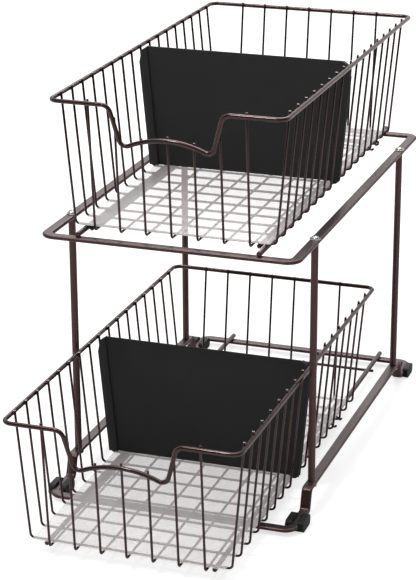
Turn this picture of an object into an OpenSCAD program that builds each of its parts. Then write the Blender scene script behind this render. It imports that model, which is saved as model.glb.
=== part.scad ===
// Two-tier pull out wire basket for a kitchen cabinet.
// A flat-bar stand on four feet carries two wire baskets that slide out towards -Y.
// Units are millimetres, +Z is up, the pull-out direction is -Y and +X is the right side.

/* [View] */
// Which piece to draw

/* [Stand] */
// Distance between the left and right post centres
stand_width = 242; // [236:1:280]
// Distance between the front and rear bar centres
stand_length = 442; // [436:1:500]
// Distance between the front and rear post centres
post_spacing = 314; // [290:1:330]
// Height of the upper ring above the lower ring
tier_spacing = 265; // [240:1:320]
// Diameter of the posts
post_diameter = 7; // [6:0.1:8]
// Wall of the post tubes
post_wall = 1; // [0.8:0.1:1.4]
// Width of the flat oval bar used for both rings
bar_width = 10.4; // [9:0.1:12]
// Thickness of the flat oval bar
bar_thickness = 3.8; // [3:0.1:4.6]
// Centre-line radius of the ring corners
corner_radius = 9; // [7.5:0.1:12]
// Height that the lower rails stand above the lower front and rear bars
leg_rise = 20.3; // [18:0.1:26]
// Centre-line radius of the leg bends
leg_bend_radius = 5; // [4:0.1:6]
// Lean of the legs away from upright, in degrees
leg_lean = 16; // [8:1:20]
// Distance from a post centre to the middle of the leg beside it
leg_offset = 17.6; // [17.4:0.1:21]
// Overlap of a bar end past the post centre
lap_length = 10; // [6:0.1:10]

/* [Feet] */
// Length of a foot along the bar
foot_length = 24; // [20:0.5:24]
// Width of a foot
foot_width = 18; // [16:0.1:20]
// Height of a foot
foot_height = 11.2; // [10:0.1:12]
// Plastic under the bar
foot_sole = 4.3; // [3:0.1:5]
// Corner radius of the foot side profile
foot_corner = 4.4; // [3:0.1:4.8]
// Distance from the front or rear bar centre to the outer end of a foot
foot_setback = 7.5; // [6.5:0.1:10]
// Opening between the foot lips that close over the bar
foot_opening = 5.6; // [4:0.1:7]
// Distance between the grip grooves across the sole
groove_pitch = 3.4; // [3:0.1:5]
// Depth of the grip grooves
groove_depth = 0.7; // [0.4:0.1:1]
// Width of the grip grooves
groove_width = 1.3; // [0.8:0.1:1.8]

/* [Vent slot] */
// Distance of the slot in the lower rear bar from the middle
vent_offset = 60; // [50:0.5:70]
// Length of the slot
vent_length = 5.5; // [4:0.1:8]
// Width of the slot
vent_width = 1.8; // [1:0.1:2.4]
// Depth of the slot
vent_depth = 1; // [0.6:0.1:1.6]

/* [Runners] */
// Distance between the two runner rods of a tier
runner_spacing = 175.6; // [170:0.2:180]
// Diameter of the runner rods
runner_diameter = 5; // [4.5:0.1:5.4]
// Runner length past the front bar centre
runner_front_end = 1; // [0:0.5:4]
// Runner length past the rear bar centre
runner_rear_end = 8.5; // [4:0.5:12]
// Diameter of the brace rod under the runners
brace_diameter = 3.2; // [2.6:0.1:3.6]
// Distance of the brace rod behind the middle of the stand
brace_offset = 184.3; // [182:0.1:195]
// Length of the brace rod
brace_length = 184; // [182:0.5:188]

/* [Baskets] */
// Distance between neighbouring cross wires
wire_pitch = 25; // [24:0.1:25.4]
// Distance between neighbouring lengthwise wires
long_pitch = 25.1; // [24:0.1:26]
// Diameter of the mesh wires
wire_diameter = 2.3; // [2:0.1:2.6]
// Diameter of the rim wire
rim_diameter = 4.2; // [3.6:0.1:5]
// Distance between the left and right rim wire centres
rim_width = 224; // [216:0.5:226]
// Distance between the left and right floor corners of a cross wire
floor_width = 195.6; // [193:0.2:200]
// Rim centre above the cross wires of the floor
basket_height = 121.8; // [100:0.1:124]
// Rim past the first cross wire at the front
rim_front = 22; // [20:0.1:28]
// Rim past the last cross wire at the rear
rim_rear = 26.8; // [24:0.1:30]
// Floor corner past the first and last cross wires
floor_end = 8.5; // [8:0.1:11]
// Centre-line radius of the rim corners
rim_corner = 9; // [7:0.1:14]
// Centre-line radius of the mesh wire bends
wire_bend = 4; // [3.5:0.1:5]
// Wire tip standing above the rim centre
tip_height = 3.3; // [2.4:0.1:4]
// Distance between the two guide rods of a basket
guide_spacing = 163.2; // [160:0.2:164]
// Diameter of the guide rods
guide_diameter = 4.5; // [3.8:0.1:4.8]
// Guide rod past the first and last cross wires
guide_end = 1.5; // [1.2:0.1:4]
// Gap between the runners and the floor wires that slide over them
running_gap = 0.3; // [0.2:0.05:0.6]
// Distance that the upper basket stands pulled out
upper_pull = 0.7; // [0:0.1:200]
// Distance that the lower basket stands pulled out
lower_pull = 126; // [0:1:200]

/* [Runner hooks] */
// Distance of the front hook of a pair behind the first cross wire
hook_front = 336; // [330:0.5:342]
// Distance between the two hooks of a pair
hook_spread = 20; // [12:0.5:24]
// Centre-line radius of the hook bends
hook_bend = 2; // [1.8:0.1:2.4]
// Length of a hook from its inner end to the bend beside the runner
hook_length = 26; // [22:0.5:30]
// Space between the runner and the down-turned hook tip beside it
hook_gap = 1.2; // [0.6:0.1:2]
// Slope of the hook tip, down and up again, in degrees from level
hook_curl = 60; // [45:1:65]
// Straight length between the two bends of the hook tip
hook_drop = 0.6; // [0.4:0.1:1.2]
// Length of the upturned end of the hook tip
hook_end = 0.8; // [0.6:0.1:1.5]

/* [Handle] */
// Depth of the hump in the middle of the handle dip
hump_depth = 29.4; // [26:0.1:34]
// Radius of the hump
hump_radius = 89; // [80:0.5:110]
// Depth of the lowest points of the handle dip
dip_depth = 37.6; // [36:0.1:42]
// Radius of the low bends
dip_low_radius = 7; // [5:0.1:10]
// Radius of the top bends
dip_top_radius = 9; // [6:0.1:12]
// Slope of the dip sides, in degrees from level
dip_slope = 75; // [66:0.5:80]

/* [Liner and divider] */
// Thickness of the floor liner
liner_thickness = 0.8; // [0.6:0.1:1.2]
// Width of the floor liner
liner_width = 187; // [180:0.5:187]
// Liner past the first and last cross wires
liner_end = 7; // [4:0.1:7]
// Thickness of the divider panel
divider_thickness = 1.6; // [1.2:0.1:2.4]
// Depth of the clips along the divider sides
clip_depth = 6; // [5:0.1:8]
// Width of the clips
clip_width = 9.5; // [8:0.1:11]
// Height of the peak of a clip above the shoulder where its wire leaves it
clip_shoulder = 16; // [12:0.5:20]
// Height of the peak of a clip above the start of its slanted top
clip_slant = 4; // [3:0.1:6]
// Reach of a clip past the wire centre
clip_reach = 1.9; // [1.2:0.1:2]
// Gap between a clip and its wire
clip_gap = 0.4; // [0.3:0.1:0.6]

/* [Fasteners] */
// Shank diameter of the post screws
screw_diameter = 4; // [3:0.1:4]
// Head diameter of the post screws
head_diameter = 8.4; // [7:0.1:9]
// Head height of the post screws
head_height = 2.6; // [2:0.1:3]
// Shank length of the post screws below the washer
screw_length = 16; // [12:0.5:22]
// Length of each slot of the screws' cross recess
recess_length = 4; // [3:0.1:4.4]
// Width of each slot of the screws' cross recess
recess_width = 0.8; // [0.6:0.1:1.2]
// Depth of the screws' cross recess
recess_depth = 1.1; // [0.8:0.1:1.3]
// Outer diameter of the washers
washer_diameter = 10.4; // [9.5:0.1:11]
// Thickness of the washers
washer_thickness = 1; // [0.8:0.1:1.4]
// Length of the threaded plugs inside the post ends
plug_length = 18; // [15:0.5:30]

/* [Hidden] */
$fn = 48;

cross_count = 17;
long_count = 7;
divider_wire = 8;
groove_count = 4;
weld = 0.1;
lap_gap = 0.15;

post_x = stand_width / 2;
post_y = post_spacing / 2;
bar_y = stand_length / 2;
bar_half = bar_thickness / 2;
low_z = foot_sole + bar_half;
rail_z = low_z + leg_rise;
top_z = low_z + tier_spacing;
post_bottom = rail_z + bar_half;
post_top = top_z - bar_half;
bend_angle = 90 - leg_lean;
leg_straight = fine((leg_rise - 2 * leg_bend_radius * (1 - cos(bend_angle))) / sin(bend_angle));
leg_run = 2 * leg_bend_radius * sin(bend_angle) + leg_straight * cos(bend_angle);
leg_outer_y = fine(post_y + leg_offset + leg_run / 2);
leg_inner_y = leg_outer_y - leg_run;
lap_inner_y = post_y - lap_length;
lap_outer_y = post_y + lap_length;

runner_x = runner_spacing / 2;
runner_lift = bar_half + runner_diameter / 2 - weld;
brace_drop = runner_diameter / 2 + brace_diameter / 2 - weld;

basket_span = wire_pitch * (cross_count - 1);
basket_start = -basket_span / 2;
floor_lift = runner_lift + runner_diameter / 2 + wire_diameter / 2 + running_gap;
upper_floor = top_z + floor_lift;
lower_floor = low_z + floor_lift;
side_x = rim_width / 2 - rim_diameter / 2 - wire_diameter / 2 + weld;
side_slope = atan((side_x - floor_width / 2) / basket_height);
long_drop = wire_diameter - weld;
wall_height = basket_height + long_drop;
rim_gap = rim_diameter / 2 + wire_diameter / 2 - weld;
front_run = rim_front - rim_gap - floor_end;
rear_run = rim_rear - rim_gap - floor_end;
front_slope = atan(front_run / wall_height);
rear_slope = atan(rear_run / wall_height);
guide_drop = wire_diameter / 2 + guide_diameter / 2 - weld;
hook_turn_x = runner_x + runner_diameter / 2 + wire_diameter / 2 + hook_gap;

hump_turn = acos(1 - (dip_depth - hump_depth) / (hump_radius + dip_low_radius));
hump_end_x = hump_radius * sin(hump_turn);
hump_end_z = -hump_depth - hump_radius * (1 - cos(hump_turn));
low_centre_x = hump_end_x + dip_low_radius * sin(hump_turn);
low_centre_z = hump_end_z + dip_low_radius * cos(hump_turn);
low_start_x = low_centre_x + dip_low_radius * sin(dip_slope);
low_start_z = low_centre_z - dip_low_radius * cos(dip_slope);
top_end_z = -dip_top_radius * (1 - cos(dip_slope));
side_drop = top_end_z - low_start_z;
side_length = fine(side_drop / sin(dip_slope));
top_end_x = low_start_x + side_length * cos(dip_slope);
dip_start_x = fine(top_end_x + dip_top_radius * sin(dip_slope));

front_most = basket_start - rim_front - rim_diameter / 2 - max(lower_pull, upper_pull);
rear_most = max(bar_y + runner_rear_end,
    rim_diameter / 2 + rim_rear - basket_start - min(lower_pull, upper_pull));
middle_y = fine((front_most + rear_most) / 2);

divider_bottom = wire_diameter / 2 + liner_thickness;
divider_top = basket_height + rim_diameter / 2;
// The wire's inner side, with its gap, where it bends up past the divider's lower edge.
bend_start_x = floor_width / 2 - wire_bend * tan((90 - side_slope) / 2);
bend_inside = wire_bend - wire_diameter / 2 - clip_gap;
bend_rise = wire_bend - divider_bottom;
bend_room_x = fine(bend_start_x + sqrt(max(0, pow(bend_inside, 2) - pow(bend_rise, 2))));

// A size kept to whole thousandths of a millimetre.
function fine(v) = round(v * 1000) / 1000;

// A number kept to six digits.
function six(v) = v == 0 ? 0 :
    let (k = pow(10, 5 - floor(log(abs(v))))) round(v * k) / k;

// The nearest larger angle whose sine and cosine, kept to six digits, still make a true circle.
function true_angle(a) =
    abs(pow(six(cos(a)), 2) + pow(six(sin(a)), 2) - 1) < 2e-8 ? a : true_angle(a + 0.0002);

function wire_x(z) = floor_width / 2 + z * tan(side_slope);

// Depth of the rim below its level line at a sideways distance x, measured along the front wall.
function dip_at(x) =
    abs(x) >= dip_start_x ? 0 :
    abs(x) <= hump_end_x ? hump_depth + hump_radius - sqrt(pow(hump_radius, 2) - x * x) :
    abs(x) <= low_start_x ? -low_centre_z + sqrt(pow(dip_low_radius, 2) - pow(abs(x) - low_centre_x, 2)) :
    abs(x) <= top_end_x ? -low_start_z - (abs(x) - low_start_x) * tan(dip_slope) :
    dip_top_radius - sqrt(pow(dip_top_radius, 2) - pow(dip_start_x - abs(x), 2));

// Everything is drawn about the middle of the stand and moved so that the origin lies in the
// middle of the whole part, with its baskets as they stand, on the plane under the feet.
module centred() {
    translate([0, -middle_y, 0]) children();
}

module dark_metal() {
    color([0.2, 0.16, 0.15]) centred() children();
}

module bright_metal() {
    color([0.8, 0.8, 0.82]) centred() children();
}

module black_plastic() {
    color([0.1, 0.1, 0.1]) centred() children();
}

module clear_plastic() {
    color([0.9, 0.9, 0.9, 0.5]) centred() children();
}

// Outline of a bar or wire: a circle, or a flat oval where the two sizes differ.
module section(across, along) {
    thick = min(across, along);
    reach = (max(across, along) - thick) / 2;
    rotate([0, 0, along > across ? 90 : 0])
        if (reach == 0) {
            circle(d = thick);
        } else {
            square([2 * reach, thick], center = true);
            for (end = [-reach, reach]) translate([end, 0]) circle(d = thick);
        }
}

// Straight length from the origin towards +x; across is its size along y and along its size along z.
module straight(length, across, along) {
    rotate([90, 0, 90])
        linear_extrude(length) section(across, along);
}

// Bend from the origin, heading +x and turning towards +y, or -y where turn is negative.
// What is drawn inside it carries on from its far end, heading +x in its own frame.
module bend(radius, turn, across, along) {
    flip = turn < 0 ? 1 : 0;
    angle = true_angle(abs(turn));
    spare = 60 / radius;
    mirror([0, flip, 0]) difference() {
        translate([0, radius, 0]) rotate([0, 0, angle]) translate([0, -radius, 0]) {
            translate([0, radius, 0])
                rotate([0, 0, -90])
                    mirror([0, 1, 0])
                        rotate_extrude(angle = angle + spare)
                            translate([radius, 0]) section(across, along);
            mirror([0, flip, 0]) children();
        }
        translate([-3, -across, -along]) cube([3, 2 * across, 2 * along]);
    }
}

// Level flat bar along y from y0 to y1.
module bar_along_y(y0, y1) {
    translate([0, y0, 0])
        rotate([0, 0, 90]) straight(y1 - y0, bar_width, bar_thickness);
}

// Crossbar and the two arms of a ring, drawn at the rear; the arms end at y = arm_end.
module u_bar(arm_end) {
    half = post_x - corner_radius;
    for (side = [0, 1]) mirror([side, 0, 0]) {
        translate([0, bar_y, 0]) straight(half, bar_width, bar_thickness);
        translate([half, bar_y, 0])
            bend(corner_radius, -90, bar_width, bar_thickness)
                straight(bar_y - corner_radius - arm_end, bar_width, bar_thickness);
    }
}

// Space under the upper half of a bar end where the rail's tongue lies.
module lap_space(x, level) {
    translate([x - bar_width, lap_inner_y - 1, level - bar_thickness])
        cube([2 * bar_width, 2 * lap_length + 1, bar_thickness]);
}

module screw_hole(x, y, z) {
    translate([x, y, z])
        cylinder(d = screw_diameter, h = 2 * bar_thickness, center = true);
}

// U shaped bar of the upper ring, drawn at the rear.
module top_u_bar() {
    difference() {
        u_bar(lap_inner_y);
        for (side = [-1, 1]) {
            lap_space(side * post_x, 0);
            screw_hole(side * post_x, post_y, 0);
        }
    }
}

// Side rail of a ring, with a half-thick tongue at each end.
module side_rail() {
    difference() {
        bar_along_y(-lap_outer_y + lap_gap, lap_outer_y - lap_gap);
        for (side = [0, 1]) mirror([0, side, 0]) {
            translate([-bar_width, lap_inner_y - lap_gap, 0])
                cube([2 * bar_width, 2 * lap_length + 1, bar_thickness]);
            screw_hole(0, post_y, 0);
        }
    }
}

// Leg that climbs from the lower bar to the rails, heading inwards along +x with y upwards.
module leg() {
    bend(leg_bend_radius, bend_angle, bar_thickness, bar_width) {
        straight(leg_straight, bar_thickness, bar_width);
        translate([leg_straight, 0, 0])
            bend(leg_bend_radius, -bend_angle, bar_thickness, bar_width)
                straight(fine(leg_inner_y - lap_inner_y), bar_thickness, bar_width);
    }
}

// U shaped bar of the lower ring with its two legs, drawn at the rear.
module bottom_u_bar() {
    difference() {
        union() {
            u_bar(leg_outer_y);
            for (side = [-1, 1])
                translate([side * post_x, leg_outer_y, 0]) rotate([90, 0, -90]) leg();
        }
        for (side = [-1, 1]) {
            lap_space(side * post_x, leg_rise);
            screw_hole(side * post_x, post_y, leg_rise);
        }
    }
}

module post_tube() {
    difference() {
        cylinder(d = post_diameter, h = post_top - post_bottom);
        translate([0, 0, -1])
            cylinder(d = post_diameter - 2 * post_wall, h = post_top - post_bottom + 2);
    }
}

module post_at(x, y) {
    translate([x * post_x, y * post_y, post_bottom]) post_tube();
}

module runner_rod(x, level) {
    translate([x * runner_x, -bar_y - runner_front_end, level + runner_lift])
        rotate([-90, 0, 0])
            cylinder(d = runner_diameter, h = stand_length + runner_front_end + runner_rear_end);
}

module brace_rod(level) {
    translate([-brace_length / 2, brace_offset, level + runner_lift - brace_drop])
        rotate([0, 90, 0]) cylinder(d = brace_diameter, h = brace_length);
}

// Side outline of a foot: x along the bar, y upwards.
module foot_outline() {
    translate([foot_corner, 0]) square([foot_length - 2 * foot_corner, foot_height]);
    translate([0, foot_corner]) square([foot_length, foot_height - 2 * foot_corner]);
    for (x = [foot_corner, foot_length - foot_corner])
        for (y = [foot_corner, foot_height - foot_corner])
            translate([x, y]) circle(r = foot_corner);
}

// Boot that clips round the lower bar, with grip grooves across its sole, drawn at the rear right.
module foot_boot() {
    difference() {
        translate([post_x - foot_width / 2, bar_y - foot_setback - foot_length, 0])
            rotate([90, 0, 90])
                linear_extrude(foot_width) foot_outline();
        translate([post_x, 0, low_z])
            bar_along_y(bar_y - foot_setback - foot_length - 1, bar_y - foot_setback + 1);
        translate([post_x - foot_opening / 2, bar_y - foot_setback - foot_length - 1, low_z])
            cube([foot_opening, foot_length + 2, foot_height]);
        for (i = [-groove_count / 2 : groove_count / 2 - 1])
            translate([post_x - foot_width, bar_y - foot_setback - foot_length / 2
                    + (i + 0.5) * groove_pitch - groove_width / 2, -1])
                cube([2 * foot_width, groove_width, groove_depth + 1]);
    }
}

module foot_at(x, y) {
    mirror([x < 0 ? 1 : 0, 0, 0]) mirror([0, y < 0 ? 1 : 0, 0]) foot_boot();
}

module plug() {
    difference() {
        cylinder(d = post_diameter - 2 * post_wall, h = plug_length);
        translate([0, 0, -1]) cylinder(d = screw_diameter, h = plug_length + 2);
    }
}

module washer() {
    difference() {
        cylinder(d = washer_diameter, h = washer_thickness);
        translate([0, 0, -1]) cylinder(d = screw_diameter, h = washer_thickness + 2);
    }
}

// Screw with a domed head above z = 0 and the shank below it.
module post_screw() {
    dome = pow(head_diameter / 2, 2) / (2 * head_height) + head_height / 2;
    difference() {
        intersection() {
            cylinder(d = head_diameter, h = head_height);
            translate([0, 0, head_height - dome]) sphere(r = dome);
        }
        for (turn = [0, 90]) rotate([0, 0, turn])
            translate([-recess_length / 2, -recess_width / 2, head_height - recess_depth])
                cube([recess_length, recess_width, recess_depth + 1]);
    }
    translate([0, 0, -screw_length])
        cylinder(d = screw_diameter, h = screw_length + 0.1);
}

module at_posts() {
    for (x = [-1, 1])
        for (y = [-1, 1])
            translate([x * post_x, y * post_y, 0]) children();
}

// A basket is drawn with its middle cross wire at y = 0 and its floor wires at z = 0.

// Wall of a bent wire: from the origin heading +x, bent up towards +y, height above the floor.
module wire_wall(slope, height) {
    turn = 90 - slope;
    bend(wire_bend, turn, wire_diameter, wire_diameter)
        straight(height / cos(slope) - wire_bend * tan(turn / 2), wire_diameter, wire_diameter);
}

module cross_wire() {
    reach = fine(floor_width / 2 - wire_bend * tan((90 - side_slope) / 2));
    rotate([90, 0, 0])
        for (side = [0, 1]) mirror([side, 0, 0]) {
            straight(reach, wire_diameter, wire_diameter);
            translate([reach, 0, 0]) wire_wall(side_slope, basket_height + tip_height);
        }
}

module cross_wires() {
    for (i = [0 : cross_count - 1])
        translate([0, basket_start + i * wire_pitch, 0]) cross_wire();
}

// Half of a lengthwise wire, heading towards +y from the middle of the floor.
module half_long_wire(slope, height) {
    end = floor_end - basket_start;
    reach = fine(end - wire_bend * tan((90 - slope) / 2));
    rotate([90, 0, 90]) {
        straight(reach, wire_diameter, wire_diameter);
        translate([reach, 0, 0]) wire_wall(slope, height);
    }
}

// Lengthwise wire under the cross wires, with its front and rear walls.
module long_wire(x) {
    translate([x, 0, -long_drop]) {
        half_long_wire(rear_slope, wall_height + tip_height);
        mirror([0, 1, 0])
            half_long_wire(front_slope, wall_height - dip_at(x) * cos(front_slope) + tip_height);
    }
}

module long_wires() {
    for (i = [0 : long_count - 1])
        long_wire((i - (long_count - 1) / 2) * long_pitch);
}

module rim_rod(length) {
    straight(length, rim_diameter, rim_diameter);
}

module rim_bend(radius, turn) {
    bend(radius, turn, rim_diameter, rim_diameter) children();
}

// Left half of the handle dip, from the origin heading +x; y is up the front wall.
module half_dip() {
    difference() {
        rim_bend(dip_top_radius, -dip_slope) {
            rim_rod(side_length);
            translate([side_length, 0, 0])
                rim_bend(dip_low_radius, dip_slope + hump_turn)
                    translate([0, -hump_radius, 0])
                        rotate([0, 0, 90])
                            mirror([0, 1, 0])
                                rotate_extrude(angle = hump_turn + 2)
                                    translate([hump_radius, 0]) circle(d = rim_diameter);
        }
        translate([dip_start_x, -2 * dip_depth, -rim_diameter])
            cube([rim_diameter * 2, 2 * dip_depth, 2 * rim_diameter]);
    }
}

// Closed rim ring, drawn as two halves.
module rim_wire() {
    y_front = basket_start - rim_front;
    y_rear = -basket_start + rim_rear;
    half = rim_width / 2;
    translate([0, 0, basket_height])
        for (side = [0, 1]) mirror([side, 0, 0]) {
            translate([0, y_rear, 0])
                rotate([0, 0, 180]) {
                    rim_rod(half - rim_corner);
                    translate([half - rim_corner, 0, 0]) rim_bend(rim_corner, 90) {
                        rim_rod(y_rear - y_front - 2 * rim_corner);
                        translate([y_rear - y_front - 2 * rim_corner, 0, 0])
                            rim_bend(rim_corner, 90)
                                rim_rod(half - rim_corner - dip_start_x);
                    }
                }
            translate([-dip_start_x, y_front, 0])
                rotate([90 + true_angle(front_slope), 0, 0]) half_dip();
        }
}

module guide_rods() {
    for (side = [-1, 1])
        translate([side * guide_spacing / 2, basket_start - guide_end, -guide_drop])
            rotate([-90, 0, 0]) cylinder(d = guide_diameter, h = basket_span + 2 * guide_end);
}

module hook_wire(length) {
    straight(length, wire_diameter, wire_diameter);
}

module hook_turn(turn) {
    bend(hook_bend, turn, wire_diameter, wire_diameter) children();
}

// Hook wire from its inner end heading +x: level out over the runner, down beside it and up again.
module runner_hook() {
    hook_wire(hook_length);
    translate([hook_length, 0, 0]) rotate([90, 0, 0]) hook_turn(-hook_curl) {
        hook_wire(hook_drop);
        translate([hook_drop, 0, 0]) hook_turn(2 * hook_curl)
            hook_wire(hook_end);
    }
}

// Pairs of hooks on the guide rods, level with the cross wires; their tips stand beside the
// runners.
module hooks() {
    for (side = [0, 1]) mirror([side, 0, 0])
        for (y = [hook_front, hook_front + hook_spread])
            translate([hook_turn_x - hook_length, basket_start + y, 0]) runner_hook();
}

module floor_liner() {
    translate([-liner_width / 2, basket_start - liner_end, wire_diameter / 2])
        cube([liner_width, basket_span + 2 * liner_end, liner_thickness]);
}

// Divider panel with a grooved clip down each side; the grooves straddle one cross wire.
module divider_panel() {
    shoulder = divider_top - clip_shoulder;
    slant = divider_top - clip_slant;
    slot = wire_diameter / 2 + clip_gap;
    past = floor_width / 2;
    module side_line(inset, low, high) {
        polygon([[wire_x(low) - inset, low], [wire_x(low) + past, low],
            [wire_x(high) + past, high], [wire_x(high) - inset, high]]);
    }
    difference() {
        union() {
            translate([0, divider_thickness / 2, 0])
                rotate([90, 0, 0]) linear_extrude(divider_thickness)
                    polygon([[-wire_x(divider_bottom), divider_bottom],
                        [wire_x(divider_bottom), divider_bottom],
                        [wire_x(slant) - slot, slant],
                        [wire_x(divider_top) + clip_reach - clip_width, divider_top],
                        [-wire_x(divider_top) - clip_reach + clip_width, divider_top],
                        [-wire_x(slant) + slot, slant]]);
            for (side = [0, 1]) mirror([side, 0, 0])
                translate([0, clip_depth / 2, 0])
                    rotate([90, 0, 0]) linear_extrude(clip_depth)
                        polygon([[wire_x(divider_bottom) + clip_reach - clip_width, divider_bottom],
                            [wire_x(divider_bottom) + clip_reach, divider_bottom],
                            [wire_x(shoulder) + clip_reach, shoulder],
                            [wire_x(slant) - slot, slant],
                            [wire_x(divider_top) + clip_reach - clip_width, divider_top]]);
        }
        for (side = [0, 1]) mirror([side, 0, 0]) {
            translate([0, slot, 0])
                rotate([90, 0, 0]) linear_extrude(2 * slot)
                    side_line(slot, -wire_bend, divider_top + wire_bend);
            // Room for the bend of the wire above the floor.
            translate([bend_room_x, -slot, 0])
                cube([past, 2 * slot, divider_bottom + slot]);
        }
    }
}

module upper_place() {
    translate([0, -upper_pull, upper_floor]) children();
}

module lower_place() {
    translate([0, -lower_pull, lower_floor]) children();
}

module divider_place() {
    translate([0, basket_start + divider_wire * wire_pitch, 0]) children();
}

module top_front_bar() {
    dark_metal() translate([0, 0, top_z]) mirror([0, 1, 0]) top_u_bar();
}

module top_rear_bar() {
    dark_metal() translate([0, 0, top_z]) top_u_bar();
}

module top_rail_left() {
    dark_metal() translate([-post_x, 0, top_z]) side_rail();
}

module top_rail_right() {
    dark_metal() translate([post_x, 0, top_z]) side_rail();
}

module post_front_left() {
    dark_metal() post_at(-1, -1);
}

module post_front_right() {
    dark_metal() post_at(1, -1);
}

module post_rear_left() {
    dark_metal() post_at(-1, 1);
}

module post_rear_right() {
    dark_metal() post_at(1, 1);
}

module bottom_front_bar() {
    dark_metal() translate([0, 0, low_z]) mirror([0, 1, 0]) bottom_u_bar();
}

module bottom_rear_bar() {
    dark_metal() difference() {
        translate([0, 0, low_z]) bottom_u_bar();
        // Small vent slot in the top face of the rear bar.
        translate([-vent_offset, bar_y - vent_width / 2, low_z + bar_half - vent_depth])
            cube([vent_length, vent_width, bar_thickness]);
    }
}

module bottom_rail_left() {
    dark_metal() translate([-post_x, 0, rail_z]) side_rail();
}

module bottom_rail_right() {
    dark_metal() translate([post_x, 0, rail_z]) side_rail();
}

module top_runner_left() {
    dark_metal() runner_rod(-1, top_z);
}

module top_runner_right() {
    dark_metal() runner_rod(1, top_z);
}

module bottom_runner_left() {
    dark_metal() runner_rod(-1, low_z);
}

module bottom_runner_right() {
    dark_metal() runner_rod(1, low_z);
}

module top_brace() {
    dark_metal() brace_rod(top_z);
}

module bottom_brace() {
    dark_metal() brace_rod(low_z);
}

module foot_front_left() {
    black_plastic() foot_at(-1, -1);
}

module foot_front_right() {
    black_plastic() foot_at(1, -1);
}

module foot_rear_left() {
    black_plastic() foot_at(-1, 1);
}

module foot_rear_right() {
    black_plastic() foot_at(1, 1);
}

module post_plugs() {
    bright_metal() at_posts() {
        translate([0, 0, post_bottom]) plug();
        translate([0, 0, post_top - plug_length]) plug();
    }
}

module top_washers() {
    bright_metal() at_posts() translate([0, 0, top_z + bar_half]) washer();
}

module top_screws() {
    bright_metal() at_posts() translate([0, 0, top_z + bar_half + washer_thickness]) post_screw();
}

module bottom_washers() {
    bright_metal() at_posts() translate([0, 0, rail_z - bar_half - washer_thickness]) washer();
}

module bottom_screws() {
    bright_metal() at_posts()
        translate([0, 0, rail_z - bar_half - washer_thickness]) rotate([180, 0, 0]) post_screw();
}

module upper_rim() {
    dark_metal() upper_place() rim_wire();
}

module upper_cross_wires() {
    dark_metal() upper_place() cross_wires();
}

module upper_long_wires() {
    dark_metal() upper_place() long_wires();
}

module upper_guide_rods() {
    dark_metal() upper_place() guide_rods();
}

module upper_hooks() {
    dark_metal() upper_place() hooks();
}

module upper_liner() {
    clear_plastic() upper_place() floor_liner();
}

module upper_divider() {
    black_plastic() upper_place() divider_place() divider_panel();
}

module lower_rim() {
    dark_metal() lower_place() rim_wire();
}

module lower_cross_wires() {
    dark_metal() lower_place() cross_wires();
}

module lower_long_wires() {
    dark_metal() lower_place() long_wires();
}

module lower_guide_rods() {
    dark_metal() lower_place() guide_rods();
}

module lower_hooks() {
    dark_metal() lower_place() hooks();
}

module lower_liner() {
    clear_plastic() lower_place() floor_liner();
}

module lower_divider() {
    black_plastic() lower_place() divider_place() divider_panel();
}

top_front_bar();
top_rear_bar();
top_rail_left();
top_rail_right();
post_front_left();
post_front_right();
post_rear_left();
post_rear_right();
bottom_front_bar();
bottom_rear_bar();
bottom_rail_left();
bottom_rail_right();
top_runner_left();
top_runner_right();
bottom_runner_left();
bottom_runner_right();
top_brace();
bottom_brace();
foot_front_left();
foot_front_right();
foot_rear_left();
foot_rear_right();
post_plugs();
top_washers();
top_screws();
bottom_washers();
bottom_screws();
upper_rim();
upper_cross_wires();
upper_long_wires();
upper_guide_rods();
upper_hooks();
upper_liner();
upper_divider();
lower_rim();
lower_cross_wires();
lower_long_wires();
lower_guide_rods();
lower_hooks();
lower_liner();
lower_divider();
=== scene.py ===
"""Looks of a two-tier pull out wire basket for a kitchen cabinet.

Each sub-assembly is a class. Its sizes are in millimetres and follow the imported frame's own:
+Z is up, -Y is the pull-out direction and +X is the right side. Meshes are in metres.
"""

import logging
import math
from dataclasses import dataclass, replace
from enum import Enum
from typing import Any, Iterable, Sequence

import bmesh
import bpy
from mathutils import Matrix, Vector

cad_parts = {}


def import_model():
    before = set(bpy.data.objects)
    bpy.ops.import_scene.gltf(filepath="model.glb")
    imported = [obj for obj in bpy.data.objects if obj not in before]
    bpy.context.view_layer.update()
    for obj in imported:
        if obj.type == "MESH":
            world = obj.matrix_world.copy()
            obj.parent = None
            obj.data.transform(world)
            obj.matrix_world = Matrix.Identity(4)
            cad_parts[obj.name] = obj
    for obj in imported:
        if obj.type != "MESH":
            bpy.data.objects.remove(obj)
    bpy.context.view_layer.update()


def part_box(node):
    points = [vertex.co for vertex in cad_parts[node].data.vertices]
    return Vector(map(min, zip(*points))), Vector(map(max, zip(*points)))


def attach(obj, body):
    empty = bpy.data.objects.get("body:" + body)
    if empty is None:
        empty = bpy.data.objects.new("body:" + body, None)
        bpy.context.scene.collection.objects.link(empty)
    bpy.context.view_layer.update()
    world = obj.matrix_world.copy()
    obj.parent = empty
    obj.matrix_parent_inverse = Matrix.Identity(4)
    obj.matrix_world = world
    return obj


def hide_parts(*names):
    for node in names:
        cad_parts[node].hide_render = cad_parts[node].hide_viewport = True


LOG = logging.getLogger("pull_out_basket")

Triple = tuple[float, float, float]

MM = 0.001
MERGE_MM = 0.002  # points nearer than this are one
FRAME_MERGE_MM = 0.005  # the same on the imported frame's loose triangles
FLAT_ANGLE = math.radians(0.5)  # faces that turn less than this are one flat
SMOOTH_ANGLE = math.radians(38)  # edges that turn more are shaded sharp
MOULD_ANGLE = math.radians(40)  # edges of moulded pieces that turn more are rounded
RIM_ANGLE = math.radians(60)  # rims of cut stock that turn more are eased
RIM_STEPS = 2

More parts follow.
